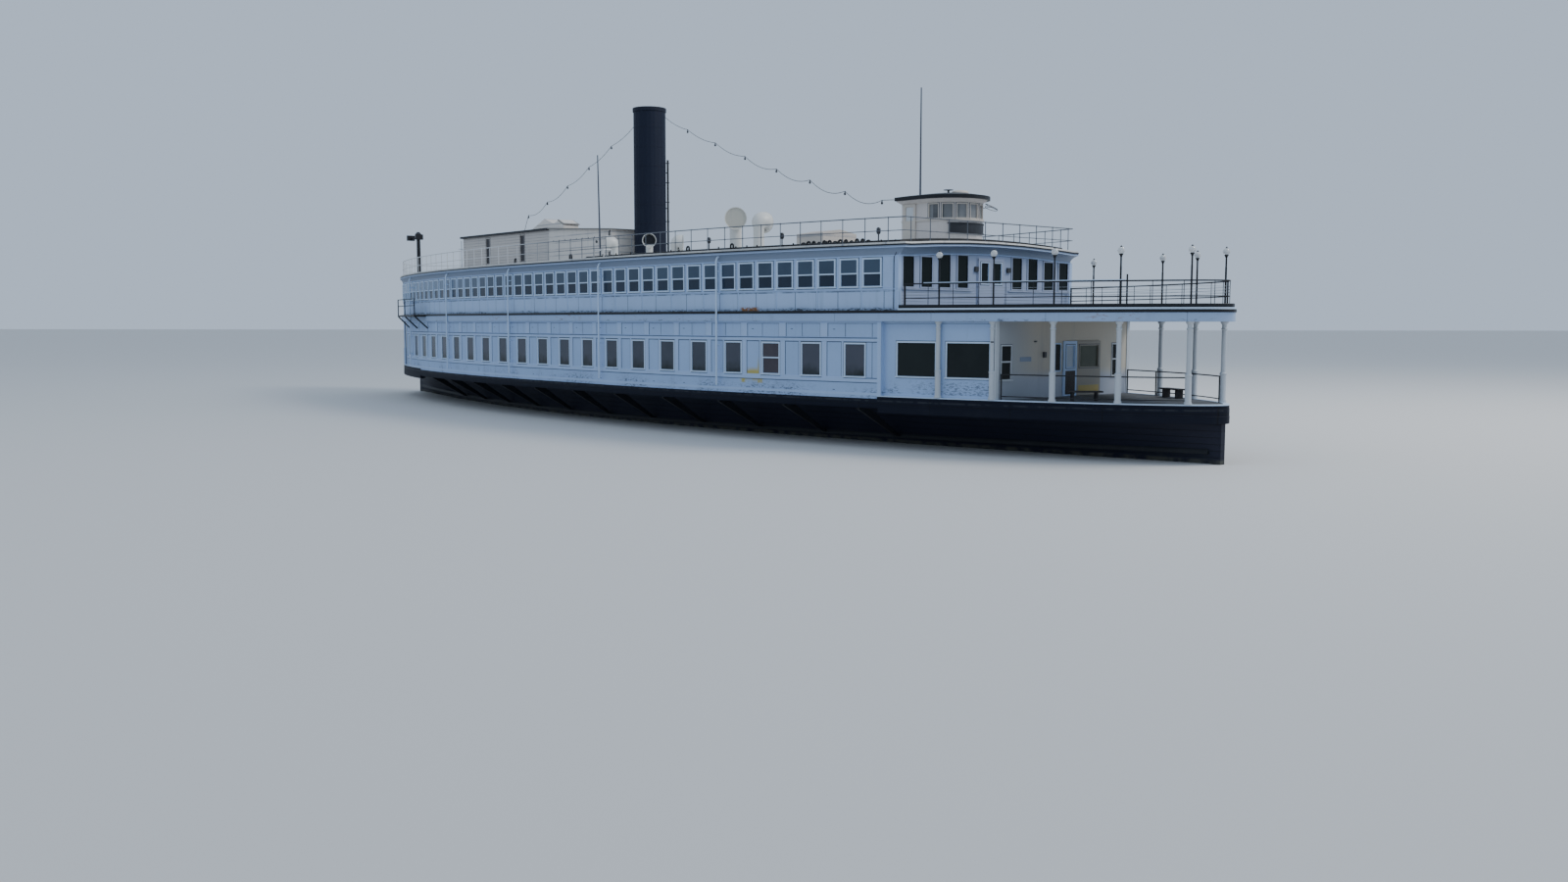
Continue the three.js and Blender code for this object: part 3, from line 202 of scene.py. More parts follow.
def blocks(low, high):
    """Local points of boxes between two corners each."""
    low, high = np.broadcast_arrays(np.atleast_2d(low), np.atleast_2d(high))
    return low[:, None] + BOX * (high - low)[:, None], BOX_FACES


def rim(width, height, profile, foot=0.0):
    """A mitred frame round an opening: a profile of (beyond the edge, out of the wall) at its corners."""
    beyond, out = np.array(profile, float).T
    width = np.atleast_1d(width)[:, None, None]
    sides = np.array([-1, 1, 1, -1])[:, None]
    ends = np.array([-1, -1, 1, 1])[:, None]
    points = xyz(sides * (width / 2 + beyond), out, foot + height / 2 + ends * (height / 2 + beyond))
    return points.reshape(len(points), -1, 3), quads(4, len(beyond), True, True)


def turned(profile, sides):
    """A profile of (radius, height) turned round the vertical, closed where its radius is nothing."""
    radius, height = np.array(profile, float).T[..., None]
    points = xyz(radius * np.cos(around(sides)), radius * np.sin(around(sides)), height)
    return points.reshape(1, -1, 3), quads(len(radius), sides, False, True)


Spots = namedtuple("Spots", "origin along out")


def stand(spots, shape):
    """Local points of (along, out, up) set at each spot."""
    points, faces = shape
    flat = points[..., :1] * spots.along[:, None] + points[..., 1:2] * spots.out[:, None]
    return copies(spots.origin[:, None] + flat + points[..., 2:] * UP, faces)


def slab(spots, low, high):
    """Boxes at each spot, between two corners of (along, out, up)."""
    return stand(spots, blocks(low, high))


def spots_between(rear, front, height):
    """A spot midway between two points of a right-hand wall, facing out."""
    along = unit(front - rear)
    middle = (rear + front) / 2
    return Spots(xyz(*middle.T, height), xyz(*along.T, 0.0), xyz(along[:, 1], -along[:, 0], 0.0))


def facing(points, direction):
    """Spots at given points with one outward direction, and along to its left."""
    out = unit(np.array([*direction, 0.0]))
    along = np.array([-out[1], out[0], 0.0])
    count = len(points)
    return Spots(np.array(points, float), np.tile(along, (count, 1)), np.tile(out, (count, 1)))


def both(spots):
    """The spots of the right-hand side and their mirror images."""
    return Spots(*(np.vstack([part, part * [1, -1, 1]]) for part in spots))


def sweep(path, profile, closed=False):
    """A closed profile of (out, height) points carried along a plan path, mitred at its corners."""
    edges = np.diff(np.vstack([path, path[:1]]) if closed else path, axis=0)
    normals = xyz(edges[:, 1], -edges[:, 0]) / np.linalg.norm(edges, axis=1, keepdims=True)
    before = np.roll(normals, 1, 0) if closed else np.vstack([normals[:1], normals])
    after = normals if closed else np.vstack([normals, normals[-1:]])
    mitre = (before + after) / (1 + (before * after).sum(1))[:, None]
    out, height = np.array(profile, float).T
    plan = path[:, None] + mitre[:, None] * out[:, None]
    return xyz(plan[..., 0], plan[..., 1], height).reshape(-1, 3), belt(len(path), len(out), closed)


def flared(inner, outer, profile, rise, closed=True):
    """A closed profile of (share from the inner line to the outer, height), raised point by point."""
    share, height = np.array(profile, float).T
    plan = inner[:, None] + share[:, None] * (outer - inner)[:, None]
    points = xyz(plan[..., 0], plan[..., 1], height + np.reshape(rise, (-1, 1)))
    return points.reshape(-1, 3), belt(len(inner), len(share), closed)


def both_sides(path, profile):
    """A profile carried along a right-hand line and along its mirror image."""
    return merged([sweep(path, profile), sweep(mirrored(path), profile)])


def strip(low, high, out, back):
    """The profile of a plain board: from one height to another, this far out and this far back."""
    return [[back, low], [out, low], [out, high], [back, high]]


def flat_bar(low, high, out, back):
    """The profile of a plain frame for rim(): between two distances beyond the edge of the opening."""
    return [[low, back], [low, out], [high, out], [high, back]]


def hoops(along, ref, sides):
    """Circles of radius one, square to each direction."""
    along = unit(along)
    u = unit(np.cross(ref, along))
    v = np.cross(along, u)
    angle = around(sides)[:, None]
    return np.cos(angle) * u[:, None] + np.sin(angle) * v[:, None]


def tube(path, radius, sides=8):
    """Circles set square to a path of points, with flat ends."""
    path = np.asarray(path, float)
    along = unit(np.gradient(path, axis=0))
    ref = np.eye(3)[np.abs(along).mean(axis=0).argmin()]
    points = path[:, None] + hoops(along, ref, sides) * radius
    return points.reshape(-1, 3), belt(len(path), sides, False)


def rods(start, end, radius, sides=6, end_radius=None):
    """Straight round rods between pairs of points."""
    start, end = np.broadcast_arrays(np.atleast_2d(start), np.atleast_2d(end))
    along = unit(end - start)
    ring = hoops(along, np.where(np.abs(along[:, 2:]) > 0.8, [[1.0, 0, 0]], [[0, 0, 1.0]]), sides)
    last = radius if end_radius is None else end_radius
    points = np.stack([start[:, None] + ring * radius, end[:, None] + ring * last], 1)
    return copies(points.reshape(len(start), -1, 3), belt(2, sides, False))


def shifted(shape, offsets):
    """Copies of a local shape at a list of places."""
    points, faces = shape
    return copies(points + np.reshape(offsets, (-1, 1, 3)), faces)


def piece(name, shells, paint, body="ship", slot=None, poles=False):
    """A mesh of closed shells, scaled to the model, smooth except across sharp edges, on its body."""
    points, faces = merged(shells)
    mesh = bpy.data.meshes.new(name)
    is_triangle = faces[:, 2] == faces[:, 3]
    corners = faces[~is_triangle].tolist() + faces[is_triangle, :3].tolist()
    mesh.from_pydata((points * SCALE).tolist(), [], corners)
    work = bmesh.new()
    work.from_mesh(mesh)
    if poles:
        bmesh.ops.remove_doubles(work, verts=work.verts, dist=1e-6)
    bmesh.ops.recalc_face_normals(work, faces=work.faces)
    work.to_mesh(mesh)
    work.free()
    mesh.polygons.foreach_set("use_smooth", np.ones(len(mesh.polygons), bool))
    mesh.set_sharp_from_angle(angle=math.radians(35))
    material, usual_slot = PAINTS[paint]
    slot = slot or usual_slot
    mesh.materials.append(material)
    made = bpy.data.objects.new(name, mesh)
    bpy.context.scene.collection.objects.link(made)
    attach(made, body)
    return made


# Paint: shader maths as Python expressions.

def operator(name):
    """A method that adds a Math node."""
    def method(self, *others):
        return self.paint.node("ShaderNodeMath", {"operation": name}, dict(enumerate((self, *others))))
    return method


class Value:
    """An output socket whose operators add Math nodes."""

    def __init__(self, paint, socket):
        self.paint = paint
        self.socket = socket

    __add__ = __radd__ = operator("ADD")
    __sub__ = operator("SUBTRACT")
    __mul__ = __rmul__ = operator("MULTIPLY")
    __truediv__ = operator("DIVIDE")
    __gt__ = operator("GREATER_THAN")
    __lt__ = operator("LESS_THAN")
    __mod__ = operator("FLOORED_MODULO")
    __abs__ = operator("ABSOLUTE")
    floor = operator("FLOOR")
    most = operator("MAXIMUM")

    def __rsub__(self, other):
        return self.paint.node("ShaderNodeMath", {"operation": "SUBTRACT"}, {0: other, 1: self})

    def rise(self, low, high):
        """Nothing below low, one above high, and smooth between."""
        return self.paint.node("ShaderNodeMapRange", {"interpolation_type": "SMOOTHSTEP"},
                               {"Value": self, "From Min": low, "From Max": high})

    def near(self, centre, reach, edge):
        """One within reach of a centre, fading over edge."""
        return 1 - abs(self - centre).rise(reach, reach + edge)


def rgba(colour):
    """A colour as a socket takes it, or the value that stands for one."""
    return colour if isinstance(colour, Value) else (*colour, 1)


# Painted shade: the white paint is a cool white made darker and bluer still, as white looks in open shade
# under a blue sky.
SHADED_WHITE = (0.40, 0.54, 0.78)
# A grey used for dirt, and as painted shadow for the line under each lapped board.
DIRT_AND_SHADE = (0.16, 0.20, 0.26)
# A dark blue-grey used for board joints, and as painted shade for lines under sills, belts, laps and
# casings.
GRIME_AND_SHADE = (0.035, 0.05, 0.08)
RUST = (0.28, 0.12, 0.035)
CHARCOAL = (0.008, 0.010, 0.015)
DECK_GREY = (0.085, 0.088, 0.092)
GRAIN = (1.0, 1.0, 3.0)


class Paint:
    """A material under construction: its tone so far, and the ship's own coordinates."""

    def __init__(self, name, tone, soil=None):
        self.material = bpy.data.materials.new(name)
        self.material.use_nodes = True
        self.tree = self.material.node_tree
        self.tree.nodes.clear()
        place = self.node("ShaderNodeTexCoord", {}, {}, "Object")
        self.place = self.node("ShaderNodeMapping", {}, {"Vector": place, "Scale": (1 / SCALE,) * 3})
        self.x, self.y, self.z = self.split(self.place)
        self.facing_up = self.split(self.node("ShaderNodeNewGeometry", {}, {}, "True Normal"))[2]
        self.tone = tone
        if soil is not None:
            self.weather(soil)

    def node(self, kind, settings, sockets, output=0):
        """One node: its settings, then its sockets as values or links, and the output that is used."""
        made = self.tree.nodes.new(kind)
        for key, value in settings.items():
            setattr(made, key, value)
        for key, value in sockets.items():
            if isinstance(value, Value):
                self.tree.links.new(value.socket, made.inputs[key])
            else:
                made.inputs[key].default_value = value
        return made if output is None else Value(self, made.outputs[output])

    def split(self, vector):
        made = self.node("ShaderNodeSeparateXYZ", {}, {"Vector": vector}, None)
        return [Value(self, output) for output in made.outputs]

    def noise(self, scale, detail, roughness=0.55, stretch=None):
        """Noise over the ship's coordinates, squeezed along each axis by stretch."""
        vector = self.place
        if stretch:
            vector = self.node("ShaderNodeMapping", {}, {"Vector": vector, "Scale": stretch})
        sockets = {"Vector": vector, "Scale": scale, "Detail": detail, "Roughness": roughness}
        return self.node("ShaderNodeTexNoise", {}, sockets)

    def chance(self, value):
        """An even random number for each whole number."""
        return self.node("ShaderNodeTexWhiteNoise", {"noise_dimensions": "1D"}, {"W": value})

    def mix(self, under, over, amount):
        sockets = {0: amount, 6: rgba(under), 7: rgba(over)}
        return self.node("ShaderNodeMix", {"data_type": "RGBA"}, sockets, 2)

    def cover(self, colour, amount):
        """Lay a colour over the tone so far."""
        self.tone = self.mix(self.tone, colour, amount)

    def weather(self, soil):
        """Broad patches, rain streaks that run down and a fine mottle."""
        self.cover(DIRT_AND_SHADE, self.noise(0.35, 4).rise(0.42, 0.72) * (0.22 * soil))
        self.cover(DIRT_AND_SHADE, self.noise(1.0, 3, stretch=(2.6, 2.6, 0.22)).rise(0.55, 0.8) * (0.5 * soil))
        self.cover(DIRT_AND_SHADE, self.noise(9, 3).rise(0.5, 0.85) * (0.18 * soil))

    def bleach(self, wear=1.0):
        """Pale patches and scuffs along the ship, as black paint gets them."""
        self.cover((0.022, 0.026, 0.034), self.noise(1.1, 5, 0.65).rise(0.5, 0.75) * (0.5 * wear))
        scuffed = self.noise(1.0, 4, stretch=(0.5, 0.5, 4.0)).rise(0.62, 0.78)
        self.cover((0.05, 0.052, 0.055), scuffed * (0.25 * wear))

    def plank(self, top):
        """Grey planks laid over the tone where top is one; returns the joints between them."""
        boards = joints(self.y, 0.13, 0.012)
        grey = self.mix(DECK_GREY, DIRT_AND_SHADE, self.noise(0.7, 4).rise(0.4, 0.7) * 0.5)
        self.cover(self.mix(grey, (0.1, 0.1, 0.1), boards * 0.6), top)
        return boards

    def finish(self, roughness, relief=None, depth=0.01, metallic=0.0, mirror=None, **fixed):
        """The material: relief goes through a Bump node, and mirror is its specular level."""
        sockets = {"Base Color": rgba(self.tone), "Roughness": roughness, "Metallic": metallic, **fixed}
        if relief is not None:
            bump = {"Height": relief, "Strength": 1.0, "Distance": depth * SCALE}
            sockets["Normal"] = self.node("ShaderNodeBump", {}, bump)
        if mirror is not None:
            sockets["Specular IOR Level"] = mirror
        surface = self.node("ShaderNodeBsdfPrincipled", {}, sockets)
        self.node("ShaderNodeOutputMaterial", {}, {"Surface": surface}, None)
        return self.material


def joints(value, pitch, width, at=0.0):
    """One on a thin line at a place and at every pitch from it."""
    shift = -at % pitch
    return abs((value + shift) % pitch - pitch / 2) > (pitch / 2 - width / 2)


def between(value, low, high):
    """One between two values."""
    return (value > low) * (value < high)


def upper_wall_paint():
    """Boards with butt joints, a painted shadow under the sill, bald patches along the foot and one rust
    mark.
    """
    paint = Paint("upper_wall_boards", SHADED_WHITE, 0.5)
    upright = joints(paint.x, 2 * UPPER_PITCH, 0.035, 8.913) * (paint.z < 7.1) * (paint.x < 24.0)
    # Painted shadow: a dark line under the sill moulding, broken up by noise.
    sill_shadow = between(paint.z, 7.06, 7.12)
    paint.cover(GRIME_AND_SHADE, upright * 0.75)
    paint.cover(GRIME_AND_SHADE, sill_shadow * paint.noise(1.3, 4).rise(0.3, 0.6) * 0.7)
    foot = (6.36 + paint.noise(0.9, 5, 0.7) * 0.34 - paint.z).rise(0.14, 0.24)
    flakes = paint.noise(5.0, 6, 0.75, GRAIN).rise(0.49, 0.55)
    peel = foot * flakes * paint.noise(0.30, 3).rise(0.36, 0.56).most((paint.x - 16.6).rise(0.0, 1.4))
    paint.cover(DIRT_AND_SHADE, foot * 0.30)
    paint.cover((0.05, 0.065, 0.09), peel * 0.9)
    rust = paint.x.near(15.9, 0.45, 0.25) * paint.z.near(6.3, 0.07, 0.10) * (paint.y < 0)
    paint.cover(RUST, rust * paint.noise(7, 4).rise(0.34, 0.5))
    relief = paint.noise(14, 4) * 0.25 - upright * 0.6 - sill_shadow * 0.3 - peel * 0.3
    return paint.finish(0.55 + peel * 0.3, relief, 0.012)


def lower_wall_paint():
    """Panelled boards: dark lines of painted shade beside each panel and belt, paint lost low down, and one
    yellow stain.
    """
    paint = Paint("lower_wall_boards", (0.35, 0.49, 0.74), 0.45)
    frieze = between(paint.z, 5.0, 5.73)
    panel = between(paint.z, 3.18, 4.83)
    upright = joints(paint.x, LOWER_PITCH, 0.03, 8.355) * (frieze + panel)
    upright = upright + joints(paint.x, LOWER_PITCH, 0.03, 9.38) * frieze
    upright = upright + joints(paint.x, LOWER_PITCH, 0.04, 9.17) * panel
    lying = between(paint.z, 4.985, 5.015) + between(paint.z, 3.18, 3.21)
    lying = lying + between(paint.z, 2.975, 3.0) + between(paint.z, 4.80, 4.83)
    # Painted shade: dark lines along the panels' edges and beside the belts, broken up by noise.
    gap_shade = (upright + lying) * (paint.x < 23.5) * paint.noise(0.8, 4).rise(0.15, 0.45)
    paint.cover(GRIME_AND_SHADE, gap_shade * 0.85)
    specks = paint.noise(5.5, 6, 0.75, GRAIN).rise(0.51, 0.56)
    low_down = (3.05 - paint.z + paint.noise(0.9, 2) * 0.4).rise(0.2, 0.7)
    bald = specks * low_down * paint.noise(0.35, 3).rise(0.42, 0.6)
    front = specks * between(paint.x, 23.9, 28.9) * (3.24 - paint.z).rise(0.0, 0.25)
    peel = bald.most(front * paint.noise(0.8, 3).rise(0.34, 0.5))
    paint.cover((0.10, 0.12, 0.17), peel * 0.75)
    runs = paint.x.near(15.52, 0.06, 0.14) + paint.x.near(16.62, 0.08, 0.14)
    stain = runs * (4.2 - paint.z).rise(0.0, 0.9) * (paint.z > 2.8)
    stain = stain.most(paint.x.near(16.05, 0.6, 0.25) * paint.z.near(3.2, 0.12, 0.3)) * (paint.y < 0)
    paint.cover((0.46, 0.38, 0.07), stain * paint.noise(3, 4).rise(0.2, 0.5) * 0.95)
    relief = paint.noise(14, 4) * 0.25 - gap_shade * 0.8 - peel * 0.25
    return paint.finish(0.55 + peel * 0.3, relief, 0.012)


def trim_paint(name, colour=SHADED_WHITE, soil=0.3):
    """Weathered brush paint."""
    paint = Paint(name, colour, soil)
    return paint.finish(0.5, paint.noise(22, 3), 0.004)


def fascia_paint():
    """The deck's edge board: butts, rain streaks, and flakes and rust along its foot."""
    paint = Paint("fascia_board", (0.33, 0.45, 0.66), 0.35)
    butts = joints(paint.x, 4.9384, 0.02, 11.38)
    paint.cover(GRIME_AND_SHADE, butts * 0.4)
    flakes = paint.noise(2.8, 6, 0.75, GRAIN).rise(0.56, 0.61)
    low = (5.86 - paint.z + paint.noise(0.7, 3) * 0.1).rise(0.0, 0.1) * paint.noise(0.4, 3).rise(0.42, 0.6)
    paint.cover((0.08, 0.09, 0.11), flakes * low * 0.8)
    paint.cover(RUST, flakes * paint.noise(0.25, 3).rise(0.52, 0.62) * 0.5)
    return paint.finish(0.5, paint.noise(22, 3) - butts * 2 - low * flakes * 2, 0.004)


def clapboard_paint(name, colour, pitch, soil, below=None, lap_shadow_colour=DIRT_AND_SHADE):
    """Lapped boards: each board leans out to its lower edge, with a painted shadow line under it."""
    paint = Paint(name, colour, soil)
    step = (paint.z % pitch) / pitch
    line = step < 0.16
    relief = (1 - step) * 0.8 + paint.noise(16, 3) * 0.2
    if below is not None:
        line = line * (paint.z < below)
        relief = relief * (paint.z < below)
    # Painted shadow: a dark line along the foot of each board, under its lap.
    paint.cover(lap_shadow_colour, line * paint.noise(0.6, 3).rise(0.25, 0.6) * 0.5)
    return paint.finish(0.58, relief, 0.02)


def upper_deck_paint():
    """White edge and posts, a boarded soffit made dark grey as painted shade under the deck, and grey planks
    on top.
    """
    paint = Paint("upper_deck_boards", SHADED_WHITE, 0.35)
    # Painted shade: the underside of the deck is dark grey for the shade under it.
    below = (paint.facing_up < -0.5) * (paint.z > 5.6)
    paint.cover((0.125, 0.115, 0.095), below * (0.9 - joints(paint.y, 0.16, 0.014) * 0.5))
    top = (paint.facing_up > 0.5) * (paint.z > 6)
    boards = paint.plank(top)
    return paint.finish(0.6 + top * 0.2, paint.noise(18, 3) * 0.4 - boards * 0.6 * top, 0.008)


def main_deck_paint():
    """Dark planked edge and underside; grey planks on top."""
    paint = Paint("main_deck_boards", CHARCOAL)
    paint.bleach()
    top = (paint.facing_up > 0.5) * (paint.z > 2.3)
    boards = paint.plank(top)
    return paint.finish(0.65 + top * 0.15, paint.noise(18, 3) * 0.4 - boards * 0.6 * top, 0.008)


def hull_paint():
    """Black planks, rubbed paler low down, with a scum line at the water, and red and weed below it."""
    paint = Paint("hull_planks", (0.011, 0.013, 0.028))
    paint.bleach(0.25)
    seams_and_shade_strips = joints(paint.z, 0.27, 0.02)
    paint.cover((0.002, 0.0025, 0.004), seams_and_shade_strips * 0.7)
    rubbed = paint.noise(1.2, 5, 0.7).rise(0.45, 0.7) * (0.75 - paint.z).rise(0.0, 0.5)
    paint.cover((0.020, 0.024, 0.030), rubbed * 0.7)
    scum = paint.z.near(0.06, 0.05, 0.12) * paint.noise(2.2, 4).rise(0.35, 0.6)
    paint.cover((0.10, 0.10, 0.075), scum * 0.6)
    deep = (0.0 - paint.z).rise(0.05, 0.3)
    paint.cover((0.09, 0.035, 0.026), deep * 0.85)
    paint.cover((0.07, 0.085, 0.05), paint.noise(1.4, 5, 0.7).rise(0.5, 0.64) * deep * 0.7)
    return paint.finish(0.62, paint.noise(9, 4) * 0.5 - seams_and_shade_strips * 0.7, 0.02, mirror=0.3)


def black_paint(name, colour, roughness):
    """Bleached and scuffed black."""
    paint = Paint(name, colour)
    paint.bleach()
    return paint.finish(roughness, paint.noise(20, 3), 0.004, mirror=0.35)


def guard_paint():
    """Black rubbing planks with butts, a seam along the middle and grey scrapes."""
    paint = Paint("guard_planks", (0.0035, 0.0055, 0.015))
    paint.bleach(0.4)
    butts = joints(paint.x, 3.6, 0.03, 0.9)
    seam = paint.z.near(2.07, 0.008, 0.004)
    paint.cover((0.002, 0.002, 0.003), butts.most(seam) * 0.7)
    rubbed = paint.z.near(2.20, 0.02, 0.03) * paint.noise(3, 4).rise(0.42, 0.6)
    paint.cover((0.05, 0.055, 0.06), rubbed * 0.4)
    return paint.finish(0.65, paint.noise(12, 4) * 0.6 - seam - butts, 0.01, mirror=0.2)


def roof_paint():
    """Black edge, and pale canvas on top with laps across the ship."""
    paint = Paint("roof_canvas", (0.62, 0.62, 0.60))
    paint.cover((0.36, 0.37, 0.37), paint.noise(0.5, 5, 0.65).rise(0.4, 0.7) * 0.7)
    laps = joints(paint.x, 1.2, 0.05)
    paint.cover((0.20, 0.20, 0.20), laps * 0.35)
    paint.cover(CHARCOAL, paint.facing_up < 0.5)
    return paint.finish(0.75, paint.noise(20, 3) * 0.4 + laps * 0.4, 0.008)


def pane_paint(name, light, dark, pitch=3.0, first=25.0, shade=None, mirror=0.25, sky=None):
    """Old glass: each pane has its own tone, cloudy patches, where asked a painted sky reflection growing
    towards the rear, and, where shaded, a dark lower part.
    """
    paint = Paint(name, dark)
    cell = ((paint.x - first) / pitch + 0.5).floor()
    paint.cover(light, paint.chance(cell + 3.0) * 0.6 + 0.2)
    cloud = paint.noise(1.3, 4).rise(0.38, 0.72)
    paint.cover(light, cloud * 0.35)
    # Painted reflection: a sky tone laid over the panes, growing towards the rear.
    if sky:
        paint.cover(sky, (0.0 - paint.x).rise(6.0, 24.0) * 0.85)
    if shade:
        low, high, deep = shade
        tree = paint.z - paint.noise(1.1, 4, 0.65) * 1.1 + 0.55
        paint.tone = paint.mix(deep, paint.tone, tree.rise(low, high))
    return paint.finish(0.16 + cloud * 0.06, paint.noise(2.6, 1), 0.004, mirror=mirror)


def steel_paint(name, colour, soil=0.3):
    """Painted steel with rust in patches."""
    paint = Paint(name, colour, soil)
    rusty = paint.noise(5, 5, 0.7).rise(0.62, 0.72)
    paint.cover(RUST, rusty * 0.35 * soil)
    return paint.finish(0.4 + rusty * 0.25, paint.noise(30, 3), 0.003)


def porch_paint():
    """Cream-white boards with painted light and shade: warm bounce light above the level of the rail, bluish
    shade below it and greyer shade towards the right-hand side.
    """
    paint = Paint("porch_wall", (0.42, 0.46, 0.54))
    # Painted light and shade: warm bounce light above the rail, bluish shade below it, and greyer shade
    # towards the right-hand side.
    paint.cover((0.52, 0.48, 0.40), paint.z.rise(3.15, 3.75))
    paint.cover((0.29, 0.33, 0.38), (-1.4 - paint.y).rise(0.0, 2.6) * 0.8)
    paint.weather(0.5)
    return paint.finish(0.6, paint.noise(22, 3), 0.004)


def rail_paint():
    """White pipe at the rear, with painted shade that turns it dark grey towards the front."""
    paint = Paint("roof_rail_pipe", (0.66, 0.67, 0.68))
    # Painted shade: dark grey towards the front.
    paint.cover((0.10, 0.115, 0.14), paint.x.rise(-9.0, 1.0))
    paint.weather(0.3)
    return paint.finish(0.45, paint.noise(30, 3), 0.003)


def funnel_paint():
    """Black plates with rings at their laps, grey bleaching and rust runs."""
    paint = Paint("funnel_plates", (0.0105, 0.0145, 0.031))
    rings = joints(paint.z, 1.18, 0.05)
    paint.cover((0.021, 0.028, 0.048), paint.noise(1.0, 4, stretch=(5.0, 5.0, 0.25)).rise(0.55, 0.75) * 0.4)
    paint.cover((0.04, 0.025, 0.018), paint.noise(2.0, 5, 0.7).rise(0.6, 0.72) * 0.3)
    paint.cover((0.05, 0.05, 0.05), paint.z.rise(18.6, 18.95) * 0.15)
    return paint.finish(0.6, rings * 0.8 + paint.noise(6, 3) * 0.3, 0.02, mirror=0.2)


def wood_paint(name, colour):
    """Stained wood with its grain along the ship."""
    paint = Paint(name, colour)
    grain = paint.noise(3.0, 5, stretch=(1.0, 7.0, 7.0))
    paint.cover([c * 2.2 for c in colour], grain.rise(0.4, 0.7))
    return paint.finish(0.65, grain, 0.004)


def globe_paint():
    """Cloudy clear glass, greyer in patches."""
    paint = Paint("globe_glass", (0.80, 0.82, 0.82))
    paint.cover((0.50, 0.54, 0.56), paint.noise(5, 3).rise(0.42, 0.7) * 0.7)
    return paint.finish(0.15, paint.noise(8, 2), 0.002, **{"Coat Weight": 0.6, "Alpha": 0.62})


def bronze_paint():
    """Cast bronze that has gone green in patches."""
    paint = Paint("cast_bronze", (0.42, 0.28, 0.11))
    green = paint.noise(3, 5, 0.7).rise(0.5, 0.68)
    paint.cover((0.16, 0.25, 0.18), green * 0.7)
    return paint.finish(0.38 + green * 0.3, paint.noise(14, 3), 0.006, 0.75)


